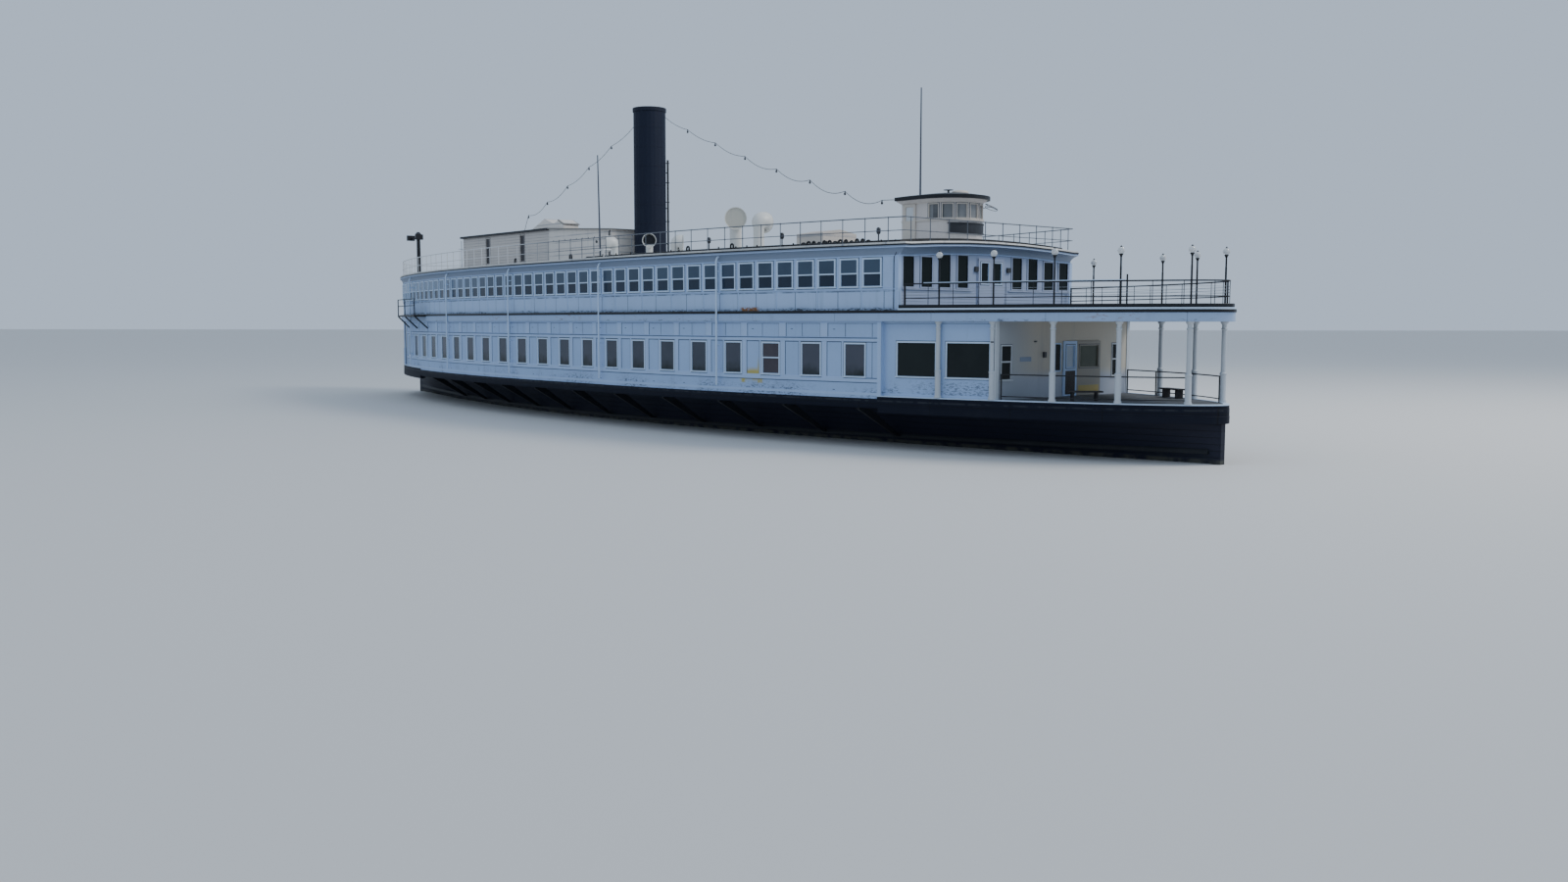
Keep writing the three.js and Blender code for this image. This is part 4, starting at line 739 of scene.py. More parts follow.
# The paints by slot. Each is known by its material's name, without the number that a taken name gets.
BY_SLOT = {
    "white_paint": [
        upper_wall_paint(), lower_wall_paint(), fascia_paint(), upper_deck_paint(), trim_paint("white_trim"),
        trim_paint("bright_trim", (0.56, 0.70, 0.88), 0.2),
        # Painted shade: the frieze's grey is the white paint darkened for the shade under the roof's cove;
        # the blank plate uses it too.
        trim_paint("frieze_shade_grey", (0.205, 0.26, 0.36), 0.5),
        # Painted shade: the porch's trim, the end walls' trim and boards, and the posts' turnings are the
        # white paint at the greyer tones it has in the shade of the porch and of the end walls.
        trim_paint("porch_trim", (0.50, 0.54, 0.58), 0.3), trim_paint("end_trim", (0.37, 0.43, 0.58), 0.4),
        trim_paint("post_white", (0.50, 0.54, 0.58), 0.4),
        clapboard_paint("end_clapboard", (0.33, 0.40, 0.56), 0.135, 0.4, 7.12, GRIME_AND_SHADE)],
    "cream_paint": [
        porch_paint(), trim_paint("cream_trim", (0.64, 0.58, 0.51), 0.3),
        clapboard_paint("deckhouse_siding", (0.62, 0.57, 0.53), 0.19, 0.35, None, (0.20, 0.20, 0.21)),
        clapboard_paint("casing_boards", (0.80, 0.74, 0.68), 0.42, 0.3),
        clapboard_paint("hatch_boards", (0.58, 0.52, 0.46), 0.6, 0.5),
        trim_paint("wheelhouse_boards", (0.66, 0.61, 0.58), 0.35),
        trim_paint("cover_canvas", (0.56, 0.54, 0.47), 0.5)],
    "door_paint": [
        trim_paint("door_grey", (0.28, 0.26, 0.22), 0.4),
        trim_paint("brass_kickplate", (0.42, 0.33, 0.10), 0.3),
        wood_paint("dark_boards", (0.022, 0.019, 0.020))],
    "black_paint": [
        main_deck_paint(), guard_paint(), funnel_paint(), trim_paint("casing_lead", (0.22, 0.20, 0.18), 0.5),
        # Painted shade: the dark line paint on the next line is for thin strips along casings, belts and
        # battens.
        trim_paint("board_black", (0.012, 0.013, 0.018), 0.25), trim_paint("painted_shade_line", GRIME_AND_SHADE, 0.2),
        black_paint("black_gloss", (0.006, 0.0075, 0.012), 0.45),
        black_paint("black_wire", (0.010, 0.011, 0.014), 0.5),
        steel_paint("dark_fitting", (0.02, 0.022, 0.028))],
    "black_hull_paint": [hull_paint(), black_paint("wale_black", (0.009, 0.011, 0.015), 0.6)],
    "roof_canvas": [roof_paint(), trim_paint("edge_canvas", (0.62, 0.61, 0.58), 1.6)],
    "white_steel": [rail_paint(), steel_paint("white_pipe", (0.72, 0.73, 0.74)),
                    steel_paint("cowl_white", (0.74, 0.73, 0.69), 0.4)],
    "grey_steel": [steel_paint("grey_pipe", (0.26, 0.28, 0.31), 0.4),
                   steel_paint("mast_steel", (0.05, 0.06, 0.085)),
                   steel_paint("pale_wire", (0.30, 0.34, 0.38), 0.2)],
    "bronze": [bronze_paint()],
    "lamp_glass": [globe_paint()],
    "window_glass": [
        # Painted reflection: the upper sashes' glass is lighter than the lower sashes' for the sky it
        # reflects.
        pane_paint("upper_sash_glass", (0.068, 0.105, 0.155), (0.035, 0.056, 0.09), UPPER_PITCH, UPPER_FIRST,
                   sky=(0.16, 0.24, 0.37)),
        pane_paint("lower_sash_glass", (0.028, 0.046, 0.078), (0.010, 0.018, 0.034), UPPER_PITCH,
                   UPPER_FIRST),
        pane_paint("tall_window_glass", (0.085, 0.090, 0.115), (0.050, 0.062, 0.080), LOWER_PITCH,
                   LOWER_FIRST, (3.15, 3.9, (0.016, 0.024, 0.024))),
        pane_paint("hung_window_glass", (0.10, 0.085, 0.10), (0.05, 0.045, 0.055), LOWER_PITCH, LOWER_FIRST),
        pane_paint("picture_window_glass", (0.012, 0.018, 0.018), (0.004, 0.008, 0.009)),
        pane_paint("wheelhouse_glass", (0.30, 0.31, 0.32), (0.05, 0.055, 0.06), 0.5, 22.0),
        pane_paint("deckhouse_glass", (0.035, 0.033, 0.04), (0.02, 0.018, 0.024), 5.75, -21.675),
        pane_paint("porch_door_glass", (0.12, 0.14, 0.10), (0.05, 0.06, 0.045)),
        pane_paint("end_window_glass", (0.010, 0.016, 0.015), (0.003, 0.005, 0.008), mirror=0.12),
        pane_paint("pale_window_glass", (0.46, 0.53, 0.62), (0.36, 0.43, 0.52), 1.0, 20.0),
        # Painted daylight: this near-white glass stands for the bright sky seen through the wheelhouse
        # doors.
        pane_paint("bright_window_glass", (0.72, 0.74, 0.76), (0.60, 0.63, 0.66), 1.0, 20.0)],
}
PAINTS = {made.name.split(".")[0]: (made, slot) for slot, group in BY_SLOT.items() for made in group}

# Which of the solids have which paint, by the start of their names; the longest fit counts.
FINISHES = {
    "hull_planks": "hull keel rudder", "cast_bronze": "propeller", "grey_pipe": "engine_block",
    "black_wire": "main_deck_rail", "main_deck_boards": "main_deck", "lower_wall_boards": "lower_wall",
    "upper_wall_boards": "upper_wall", "upper_deck_boards": "upper_deck", "roof_rail_pipe": "roof_rail",
    "hatch_boards": "roof_hatch", "roof_canvas": "roof", "end_clapboard": "upper_end_wall",
    "black_gloss": "end_deck_rail funnel_pipe wheelhouse_roof deckhouse_roof floodlight_post landing",
    "porch_wall": "lower_end_wall engine_casing", "end_trim": "upper_door", "white_trim": "lower_door",
    "door_grey": "lower_door_front_left lower_door_rear_left", "funnel_plates": "funnel",
    "wheelhouse_boards": "wheelhouse_wall", "cream_trim": "wheelhouse_door", "mast_steel": "mast pole",
    "deckhouse_siding": "deckhouse_wall", "casing_lead": "casing_roof", "casing_boards": "casing skylight",
    "white_pipe": "cowl", "dark_boards": "bench",
}
finishes = {start: PAINTS[paint][0] for paint, starts in FINISHES.items() for start in starts.split()}
for name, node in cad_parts.items():
    key = max((start for start in finishes if name.startswith(start)), key=len)
    for number in range(len(node.material_slots)):
        node.material_slots[number].material = finishes[key]


# Hull: the same sections as the solid's, on a fine grid.

def hull_breadth(x, share):
    """Half breadth above water, from the waterline curve to the curve of the hull's top."""
    a = np.abs(x)
    water = np.maximum(5.1 * np.maximum(1 - (a / 36.9) ** 2, 0) ** 1.15, 0.15)
    top = np.maximum(5.75 * np.maximum(1 - (a / 37.1) ** 2.4, 0) ** 0.9, 0.15)
    return water + (top - water) * share


def hull_skin():
    """Straight flared sides above water; below it, a power curve down to the keel line."""
    x = np.concatenate([[-36.9], -36.9 * np.cos(np.linspace(0, np.pi, 181))[1:-1], [36.9]])
    a = np.abs(x)
    t = np.clip((a - 25) / 6, 0, 1)
    keel = -3.6 + 3.15 * t * t * (3 - 2 * t)
    t = np.clip((a - 8) / 24, 0, 1)
    fullness = 3.5 - 2.25 * t * t * (3 - 2 * t)
    depth = np.cos(np.linspace(0, np.pi / 2, 18))
    below = hull_breadth(x, 0)[:, None] * (1 - depth ** fullness[:, None]) ** 0.5
    below[:, 0] = 0.02
    share = np.linspace(0, 1, 6)[1:]
    above = hull_breadth(x[:, None], share)
    y = np.hstack([below, above])
    z = np.hstack([keel[:, None] * depth, np.broadcast_to(1.8594 * share, above.shape)])
    right = xyz(x[:, None], -y, z)
    ring = np.concatenate([right, right[:, ::-1] * [1, -1, 1]], 1)
    return ring.reshape(-1, 3), belt(len(x), ring.shape[1], False)


hull_planks = piece("hull_planks", [hull_skin()], "hull_planks")
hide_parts("hull")

# A wale along each side of the hull, higher towards the ends.
wale_x = 36.4 * np.sin(np.linspace(-np.pi / 2, np.pi / 2, 161))
wale_height = 0.27 + 0.24 * (np.abs(wale_x) / 37) ** 1.5
wale_in = xyz(wale_x, 0.08 - hull_breadth(wale_x, wale_height / 1.86))
wale_profile = [[0, -0.12], [1.0, -0.10], [1.0, 0.02], [0.7, 0.10], [0, 0.12]]
wale = [flared(wale_in, wale_in - [0, 0.17], wale_profile, wale_height, False),
        flared(wale_in * [1, -1], wale_in * [1, -1] + [0, 0.17], wale_profile, wale_height, False)]
piece("hull_wale", wale, "wale_black")

# The guard round the main deck, its end bands, and the deck's edge.
GUARD = [[-0.3, 1.85], [0.02, 1.85], [0.04, 1.88], [0.04, 2.26], [0.02, 2.29], [-0.3, 2.29]]
END_BAND = [[-0.3, 1.655], [0.035, 1.655], [0.05, 1.67], [0.05, 1.95], [0.03, 1.97], [-0.3, 1.97]]
DECK_EDGE = [[-0.2, 2.28], [0.015, 2.28], [0.03, 2.30], [0.03, 2.385], [-0.2, 2.39]]
DECK_LIP = [[-0.2, 2.38], [0.035, 2.39], [0.035, 2.42], [0.0, 2.435], [-0.2, 2.435]]
piece("guard_belt", [sweep(loop(0.0), GUARD, True)], "guard_planks")
piece("guard_end_bands", [sweep(end_arc(x, 0.0), END_BAND) for x in (23.5, -23.5)], "guard_planks")
strake = both_sides(run(-23.45, 23.45), strip(2.285, 2.44, 0.012, -0.2))
piece("guard_white_strake", [strake], "lower_wall_boards")
for name, profile, paint in (("edge", DECK_EDGE, "guard_planks"), ("lip", DECK_LIP, "bright_trim")):
    piece("main_deck_" + name, [sweep(end_arc(x, 0.0), profile) for x in (23.45, -23.45)], paint)

# The edge of the upper deck: white fascia under a black nosing; a kerb round the open front.
FASCIA = [[-0.2, 5.745], [0.005, 5.745], [0.02, 5.76], [0.02, 6.10], [0.035, 6.11], [-0.2, 6.17]]
NOSING = [[-0.17, 6.11], [0.045, 6.11], [0.06, 6.125], [0.06, 6.225], [0.045, 6.24], [-0.17, 6.24]]
KERB_FOOT = [[-0.16, 6.235], [0.035, 6.235], [0.035, 6.315], [-0.16, 6.33]]
KERB_TOP = [[-0.17, 6.325], [-0.03, 6.325], [-0.02, 6.335], [-0.02, 6.455], [-0.03, 6.465], [-0.17, 6.465]]
piece("upper_deck_fascia", [sweep(loop(OVERHANG), FASCIA, True)], "fascia_board")
piece("upper_deck_nosing", [sweep(loop(OVERHANG), NOSING, True)], "black_gloss")
open_edge = end_arc(HOUSE_FRONT + 0.18, OVERHANG)
piece("front_kerb_foot", [sweep(open_edge, KERB_FOOT)], "bright_trim")
piece("front_kerb_top", [sweep(open_edge, KERB_TOP)], "black_gloss")


# The roof's edge follows two lines, the walls' and the roof's own, and rises with its camber in front.

def house_line(front, offset):
    """Anticlockwise plan line from the rear tip to a straight front edge and back."""
    right = run(-HALF_LENGTH - offset, front, offset, 240)
    y = np.linspace(right[-1, 1], -right[-1, 1], 33)[1:-1]
    return np.vstack([right, xyz(front, y), mirrored(right)[:-1]])


def front_rise(x, y, half=half_at(24.95, -0.22)):
    """Camber of the roof above its side edges, at its front."""
    share = np.interp(np.abs(y) / half, [0, 0.35, 0.7, 1], [1, 0.8775, 0.51, 0])
    return np.where(x > 24.0, 0.25 * (half / HALF_BEAM) ** 0.5 * share, 0.0)


wall_line = house_line(HOUSE_FRONT + 0.15, -UPPER_INSET)
roof_line = house_line(HOUSE_FRONT + 0.55, ROOF_OUT)
rise = front_rise(*roof_line.T)
ROOF_PARTS = {
    "frieze_cove": ("frieze_shade_grey", [[-0.1, 8.66], [0.06, 8.66], [0.10, 8.73], [0.25, 8.82], [0.5, 8.90],
                                    [0.8, 8.96], [1.06, 8.99], [1.06, 9.09], [0.9, 9.09], [0.9, 9.03],
                                    [-0.1, 9.03]]),
    "frieze_bead": ("white_trim", [[1.0, 8.985], [1.12, 8.985], [1.12, 9.02], [1.0, 9.02]]),
    "roof_drip_edge": ("black_gloss", [[0.9, 9.08], [1.09, 9.08], [1.13, 9.09], [1.13, 9.13], [1.09, 9.14],
                                       [0.9, 9.14]]),
    "roof_margin": ("edge_canvas", [[0.6, 9.13], [1.0, 9.13], [1.06, 9.15], [0.98, 9.225], [0.85, 9.23],
                                    [0.6, 9.17]]),
    "frieze_foot_bead": ("white_trim", [[-0.1, 8.61], [0.10, 8.61], [0.16, 8.625], [0.16, 8.655],
                                        [0.08, 8.675], [-0.1, 8.675]]),
}
for name, (paint, profile) in ROOF_PARTS.items():
    piece(name, [flared(wall_line, roof_line, profile, rise)], paint)
side_right = run(-HALF_LENGTH + UPPER_INSET, HOUSE_FRONT, -UPPER_INSET, 240)
side_line = np.vstack([mirrored(side_right)[:-1], side_right])
SILL_LINE = [[-0.03, 7.15], [0.025, 7.15], [0.04, 7.165], [0.04, 7.205], [-0.03, 7.225]]
piece("upper_sill_line", [sweep(side_line, SILL_LINE)], "white_trim")


# Window stations on the walls, as the solids have them.

def wall_point(x, offset):
    """The wall's outer face at a station: by half breadth, or by angle past the lower house's end."""
    x = np.asarray(x, float)
    round_x, round_y = ellipse(angle_at(x), offset)
    is_round = np.abs(x) > LOWER_END
    y = np.where(is_round, round_y, half_at(x, offset))
    return xyz(np.where(is_round, np.sign(x) * round_x, x), -y)


def tip_edges():
    """Window edges round the rear end: steps of the curve at which each width and pier has been passed."""
    steps = 400
    start = angle_at(UPPER_FIRST - 39 * UPPER_PITCH - UPPER_HALF)
    x, y = ellipse(start + (np.pi / 2 - start) * np.arange(steps + 1) / steps)
    travelled = np.cumsum(np.hypot(np.diff(x), np.diff(y)))
    marks = np.cumsum(np.tile([UPPER_PITCH - 2 * UPPER_HALF, 2 * UPPER_HALF], 20))
    picks = np.searchsorted(travelled, marks) + 1
    picks = picks[picks <= steps]
    return -x[picks[y[picks] > 0.5]]


def on_wall(rear, front, offset, height):
    """Spots on both side walls between pairs of stations, and the widths between them."""
    ends = wall_point(rear, offset), wall_point(front, offset)
    return both(spots_between(*ends, height)), np.tile(np.linalg.norm(ends[1] - ends[0], axis=1), 2)


def across(y, x, height, heading=None):
    """Spots on a wall across the ship at each y, facing away from the middle of the ship or as told."""
    return facing(xyz(x, y, height), (heading or math.copysign(1, x), 0))


CASING = [[-0.005, -0.08], [-0.005, 0.018], [0.0, 0.03], [0.06, 0.03], [0.07, 0.015], [0.07, -0.01]]
PLANTED = [[-0.005, -0.01], [-0.005, 0.045], [0.0, 0.055], [0.05, 0.055], [0.06, 0.045], [0.06, -0.01]]
THIN_CASING = [[-0.005, -0.05], [-0.005, 0.02], [0.035, 0.02], [0.04, 0.0]]


def sash(depth, stile):
    """The profile of a sash frame inside an opening, its face this far back."""
    return flat_bar(-stile, 0.01, -depth, -depth - 0.035)


def windows(name, spots, width, height, panes, split=None, casing=THIN_CASING, body="ship",
            paint="bright_trim", slot=None, black_sashes=False, sill=0.06, stile=0.025, out=0.0):
    """Casing, sill, sashes with their meeting rail, and panes as thin plates, at each spot."""
    width = np.broadcast_to(np.asarray(width, float), len(spots.origin))
    half = width[:, None] / 2

    def plate(margin, low, high):
        """Plates this far inside the sides of the openings, between two corners of (out, up)."""
        same = np.ones_like(half)
        return slab(spots, np.hstack([margin - half, same * low]), np.hstack([half - margin, same * high]))

    frames = []
    if casing:
        edge = casing[-1][0]
        # Painted shadow: a thin dark line round the outer edge of each casing.
        line = rim(width, height, flat_bar(edge - 0.01, edge + 0.024, 0.008, -0.01))
        piece(f"{name}_casing_shadow_lines", [stand(spots, line)], "painted_shade_line", body)
        frames.append(stand(spots, rim(width, height, casing)))
    if sill:
        frames.append(plate(-0.1, (-0.03, -0.06), (sill, -0.005)))
    if split is None:
        sashes = [stand(spots, rim(width, height, sash(0.03 - out, stile)))]
        plates = [("panes", 0.05 - out, 0.01, height - 0.01)]
    else:
        sashes = [stand(spots, rim(width, height - split, sash(0.015 - out, stile), split)),
                  stand(spots, rim(width, split, sash(0.045 - out, stile))),
                  plate(0.0, (out - 0.05, split - 0.03), (out - 0.005, split + 0.03))]
        plates = [("top_panes", 0.03 - out, split, height - 0.01), ("low_panes", 0.06 - out, 0.01, split)]
    for (part, depth, low, high), glass in zip(plates, panes):
        piece(f"{name}_{part}", [plate(0.01, (-depth - 0.01, low), (-depth, high))], glass, body)
    if black_sashes:
        piece(f"{name}_sashes", sashes, "black_gloss", body)
        sashes = []
    if frames + sashes:
        piece(f"{name}_frames", frames + sashes, paint, body, slot)


upper_x = UPPER_FIRST - UPPER_PITCH * np.arange(40)
edges = tip_edges()
edges = edges[:len(edges) // 2 * 2]
upper_front = np.concatenate([upper_x + UPPER_HALF, edges[::2]])
upper_rear = np.concatenate([upper_x - UPPER_HALF, edges[1::2]])
# The upper windows' casings are planted on the wall, this far outside each side of the opening.
LAP = 0.045
windows("upper_windows", *on_wall(upper_rear - LAP, upper_front + LAP, -UPPER_INSET, UPPER_SILL), UPPER_TALL,
        ("upper_sash_glass", "lower_sash_glass"), UPPER_SPLIT, PLANTED, stile=0.018, out=0.065)
lower_x = LOWER_FIRST - LOWER_PITCH * np.arange(21)
lower_x = lower_x[lower_x > -LOWER_END + 1.2]
HUNG = 2
for name, x, glass, split, stile, out in (
        ("tall", np.delete(lower_x, HUNG), ("tall_window_glass",), None, 0.008, 0.04),
        ("hung", lower_x[[HUNG]], ("hung_window_glass",) * 2, LOWER_SPLIT, 0.02, 0.02)):
    windows(name + "_windows", *on_wall(x - LOWER_HALF, x + LOWER_HALF, 0, LOWER_SILL), LOWER_TALL, glass,
            split, CASING, stile=stile, out=out)
picture_spots = on_wall(PICTURE_EDGES[2::-2], PICTURE_EDGES[3::-2], -END_INSET, PICTURE_SILL)
windows("picture_windows", *picture_spots, PICTURE_TALL, ("picture_window_glass",), None, CASING,
        black_sashes=True, stile=0.015, out=0.03)

# Windows across the ends, the wheelhouse and the deckhouse, and the glass of the doors.
end_face, porch_face = HOUSE_FRONT + END_THICK, LOWER_END + END_THICK
for name, y, height in (("middle", [-3.11, -1.92, 1.92, 3.09], 1.48),
                        ("outer", [-5.48, -4.31, 4.29, 5.46], 1.34)):
    windows(name + "_end_windows", across(y, end_face, END_SILL), 0.7, height, ("end_window_glass",), None,
            CASING, paint="end_trim", black_sashes=True, stile=0.012, out=0.03)
for name, sign in (("front", 1), ("rear", -1)):
    porch_spots = across([sign * -4.04, sign * 3.77], sign * porch_face, LOWER_SILL)
    windows(name + "_porch_windows", porch_spots, 0.64, LOWER_TALL, ("end_window_glass",) * 2, LOWER_SPLIT,
            paint="porch_trim", stile=0.02, out=0.03)


def on_wheelhouse(angle):
    """Plan points of the wheelhouse's round wall by their angle from straight ahead."""
    return xyz(WHEELHOUSE_X + WHEELHOUSE_RADIUS * np.cos(angle), WHEELHOUSE_RADIUS * np.sin(angle))


sector = np.radians(np.array([-75, -50, -25, 0, 25, 50, 75]))
HALF_SECTOR = 0.157
ends = on_wheelhouse(sector - HALF_SECTOR), on_wheelhouse(sector + HALF_SECTOR)
windows("wheelhouse_windows", spots_between(*ends, PILOT_SILL), np.linalg.norm(ends[1] - ends[0], axis=1),
        PILOT_TALL, ("wheelhouse_glass",), paint="cream_trim", stile=0.012)
windows("wheelhouse_rear_windows", across([-0.6, 0.6], WHEELHOUSE_REAR, PILOT_SILL, -1), 0.6, PILOT_TALL,
        ("wheelhouse_glass",), paint="cream_trim")
house_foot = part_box("deckhouse_wall")[0][2] / SCALE + 0.5
house_spots = both(facing([[-21.075, -2.0, house_foot], [-16.075, -2.0, house_foot]], (0, -1)))
windows("deckhouse_windows", house_spots, 0.65, 11.69 - house_foot, ("deckhouse_glass",),
        paint="deckhouse_siding", sill=0)
for side, sign in (("right", -1), ("left", 1)):
    body = "wheelhouse_door_" + side
    windows(body, facing([[20.85, sign * 1.674, 10.53]], (0, sign)), 0.54, 0.7, ("bright_window_glass",),
            casing=None, paint="cream_trim", sill=0, body=body)
    body = "upper_door_" + side
    windows(body, across([sign * 0.4535], end_face + DOOR_FACE, 7.496), 0.533, DOOR_TALL,
            ("end_window_glass",), sill=0, body=body, stile=0.02)
LEAVES = {"right": (0.2665, 0.573, "pale_window_glass", "white_trim", "dark_boards", (-1.2, -0.15)),
          "left": (1.6085, 1.363, "porch_door_glass", "door_grey", "brass_kickplate", (-1.13, -0.82))}
for name, sign in (("front", 1), ("rear", -1)):
    for side, (middle, width, pane, paint, plate_paint, (low, high)) in LEAVES.items():
        body = f"lower_door_{name}_{side}"
        leaf = across([sign * middle], sign * (porch_face + DOOR_FACE), 3.706)
        windows(body, leaf, width, DOOR_TALL, (pane,), paint=paint, slot="door_paint", sill=0, body=body,
                stile=0.02)
        kick = slab(leaf, [-width / 2 - 0.06, -0.01, low], [width / 2 + 0.06, 0.006, high])
        piece(body + "_kickplate", [kick], plate_paint, body)

# Boards on the walls: belts, stiles and battens, and thin dark strips of painted shade along their edges.
wall_x = np.sort(np.concatenate([lower_x - LOWER_HALF, lower_x + LOWER_HALF, [-LOWER_END, LOWER_STEP]]))
lower_path = wall_point(wall_x, 0)
front_path = wall_point([LOWER_STEP, *PICTURE_EDGES, LOWER_END], -END_INSET)


def board(path, low, high, out):
    """A board with eased edges along both sides of the ship."""
    return both_sides(path, [[-0.03, low], [out - 0.01, low], [out, low + 0.012], [out, high - 0.012],
                             [out - 0.015, high], [-0.03, high]])


BELTS = ((4.84, 4.975, 0.035), (5.02, 5.05, 0.02), (3.01, 3.17, 0.035), (5.67, 5.75, 0.03))
belts = [board(lower_path, *belt_at) for belt_at in BELTS]
belts += [both_sides(path, strip(2.43, 2.55, 0.02, -0.03)) for path in (lower_path, front_path)]
belts.append(board(front_path, *BELTS[-1]))
piece("lower_wall_belts", belts, "white_trim")
# Painted shade: thin dark strips under and over the belts and beside the panels' edges, where shade falls.
seams_and_shade_strips = [board(lower_path, z, z + 0.03, 0.006) for z in (4.81, 4.985, 3.175, 2.975, 5.64)]
seams_and_shade_strips.append(board(front_path, 5.64, 5.67, 0.006))
piers = on_wall(lower_x[1:] + LOWER_HALF, lower_x[:-1] - LOWER_HALF, 0, 0.0)[0]
PANEL, FRIEZE = (3.17, 4.84), (5.05, 5.67)
seams_and_shade_strips += [slab(piers, [at, -0.02, z], [at + 0.022, 0.006, top]) for at, (z, top) in (
    (-0.325, PANEL), (-0.642, PANEL), (0.498, PANEL), (-0.732, FRIEZE), (-0.278, FRIEZE))]
piece("lower_wall_shade_strips", seams_and_shade_strips, "painted_shade_line")
stiles = [slab(piers, [low, -0.02, z], [high, 0.018, top]) for low, high, (z, top) in (
    (-0.62, -0.33, PANEL), (0.52, 0.62, PANEL), (-0.71, -0.28, FRIEZE), (-0.33, 0.52, (3.17, 3.24)))]
piece("lower_wall_stiles", stiles, "white_trim")
slots = [slab(piers, [0.02, -0.02, z], [0.14, 0.006, z + 0.025]) for z in (2.62, 5.38)]
piece("lower_wall_slots", slots, "dark_fitting")
dado_x = upper_x[1::2] + UPPER_PITCH / 2
dado = on_wall(dado_x - 0.02, dado_x + 0.02, -UPPER_INSET, 0.0)[0]
# Painted shade: a thin dark strip beside each batten of the upper wall.
piece("upper_wall_shade_strips", [slab(dado, [0.0, -0.02, 6.26], [0.022, 0.004, 7.13])], "painted_shade_line")
piece("upper_wall_battens", [slab(dado, [0.02, -0.02, 6.26], [0.085, 0.012, 7.15])], "white_trim")

# Corner boards where the lower house steps in, and at the ends of the houses.
LOWER_WALL, UPPER_WALL = (MAIN_DECK, 5.75), (6.24, 8.63)


def corner_board(spots, low, high):
    """Plain upright boards, one at each spot."""
    return slab(spots, [-0.10, -0.04, low], [0.10, 0.028, high])


corner = [corner_board(on_wall([x - 0.05], [x + 0.05], offset, 0.0)[0], *heights) for x, offset, heights in (
    (LOWER_STEP - 0.06, 0.0, LOWER_WALL), (LOWER_END - 0.06, -END_INSET, LOWER_WALL),
    (-LOWER_END + 0.06, 0.0, LOWER_WALL), (HOUSE_FRONT - 0.02, -UPPER_INSET, UPPER_WALL))]
corner.append(corner_board(across([-6.02, 6.02], end_face, 0), *UPPER_WALL))
piece("corner_boards", corner, "white_trim")
jambs = [corner_board(across([-4.65, 4.65], x, 0), *LOWER_WALL) for x in (porch_face, -porch_face)]
piece("porch_corner_boards", jambs, "porch_trim")
front_sill = [slab(across([s * 3.6], end_face, 0), [-2.3, -0.02, 7.15], [2.3, 0.05, 7.215]) for s in (-1, 1)]
door_frame = stand(across([0.0], end_face, 0), rim(1.7, 2.36, flat_bar(0.0, 0.1, 0.03, -0.02), 6.26))
piece("upper_end_trim", front_sill + [door_frame], "end_trim")


# Capitals and foot rings of the deck posts.

def stations_at(x, offset):
    """Places on both sides of a plan line, the right-hand side first."""
    y = half_at(np.array(x), offset)
    return np.vstack([xyz(x, -y, 0.0), xyz(x, y, 0.0)])


POST_X = [26.39, 28.83, 31.32, 33.77, 36.05]
capital = turned([[0, 5.40], [0.10, 5.40], [0.13, 5.43], [0.13, 5.46], [0.10, 5.50], [0.10, 5.62],
                  [0.15, 5.68], [0.17, 5.75], [0, 5.75]], 16)
foot_ring = turned([[0, 2.43], [0.16, 2.43], [0.16, 2.5], [0.13, 2.55], [0.13, 3.56], [0.145, 3.58],
                    [0.145, 3.63], [0.10, 3.68], [0.10, 5.42], [0, 5.42]], 16)
turnings = [shifted(part, stations_at(POST_X, -0.08)) for part in (capital, foot_ring)]
piece("post_turnings", turnings, "post_white", poles=True)

# Downpipes from the roof to the guard, standing off the wall on brackets.
pipes, brackets = [], []
for x in (-25.9, -16.1, -6.2, 4.0, 13.9):
    wall_y = wall_point([x], -UPPER_INSET)[0][1]
    for side in (1, -1):
        away = np.array([0.06, 0.2, 0.26, 0.26, 0.26, 0.26])
        pipes.append(tube(xyz(x, side * (wall_y - away), [8.98, 8.84, 8.7, 6.4, 4.2, 2.62]), 0.05, 10))
        start = xyz(x, side * (wall_y - 0.02), [8.2, 7.1, 4.6, 3.4])
        brackets.append(rods(start, start - [0, side * 0.24, 0], 0.03, 8))
piece("downpipes", pipes + brackets, "bright_trim")


# Rails. A round rail is a tube round the smooth line, with rods for its stanchions.

def lifted(path, height):
    """A plan path as points at one height."""
    return xyz(*path.T, height)


def evenly(path, spacing, closed=False):
    """Points at equal distances along a plan path."""
    line = np.vstack([path, path[:1]]) if closed else path
    length = np.concatenate([[0], np.cumsum(np.linalg.norm(np.diff(line, axis=0), axis=1))])
    marks = np.linspace(0, length[-1], round(length[-1] / spacing) + 1)
    marks = marks[:-1] if closed else marks
    return xyz(*(np.interp(marks, length, line[:, k]) for k in (0, 1)))


def pipe_loop(path, height, radius):
    """A closed pipe at one height: a small circle carried round the plan line."""
    angle = around(8)
    return sweep(path, xyz(radius * np.cos(angle), height + radius * np.sin(angle)), True)


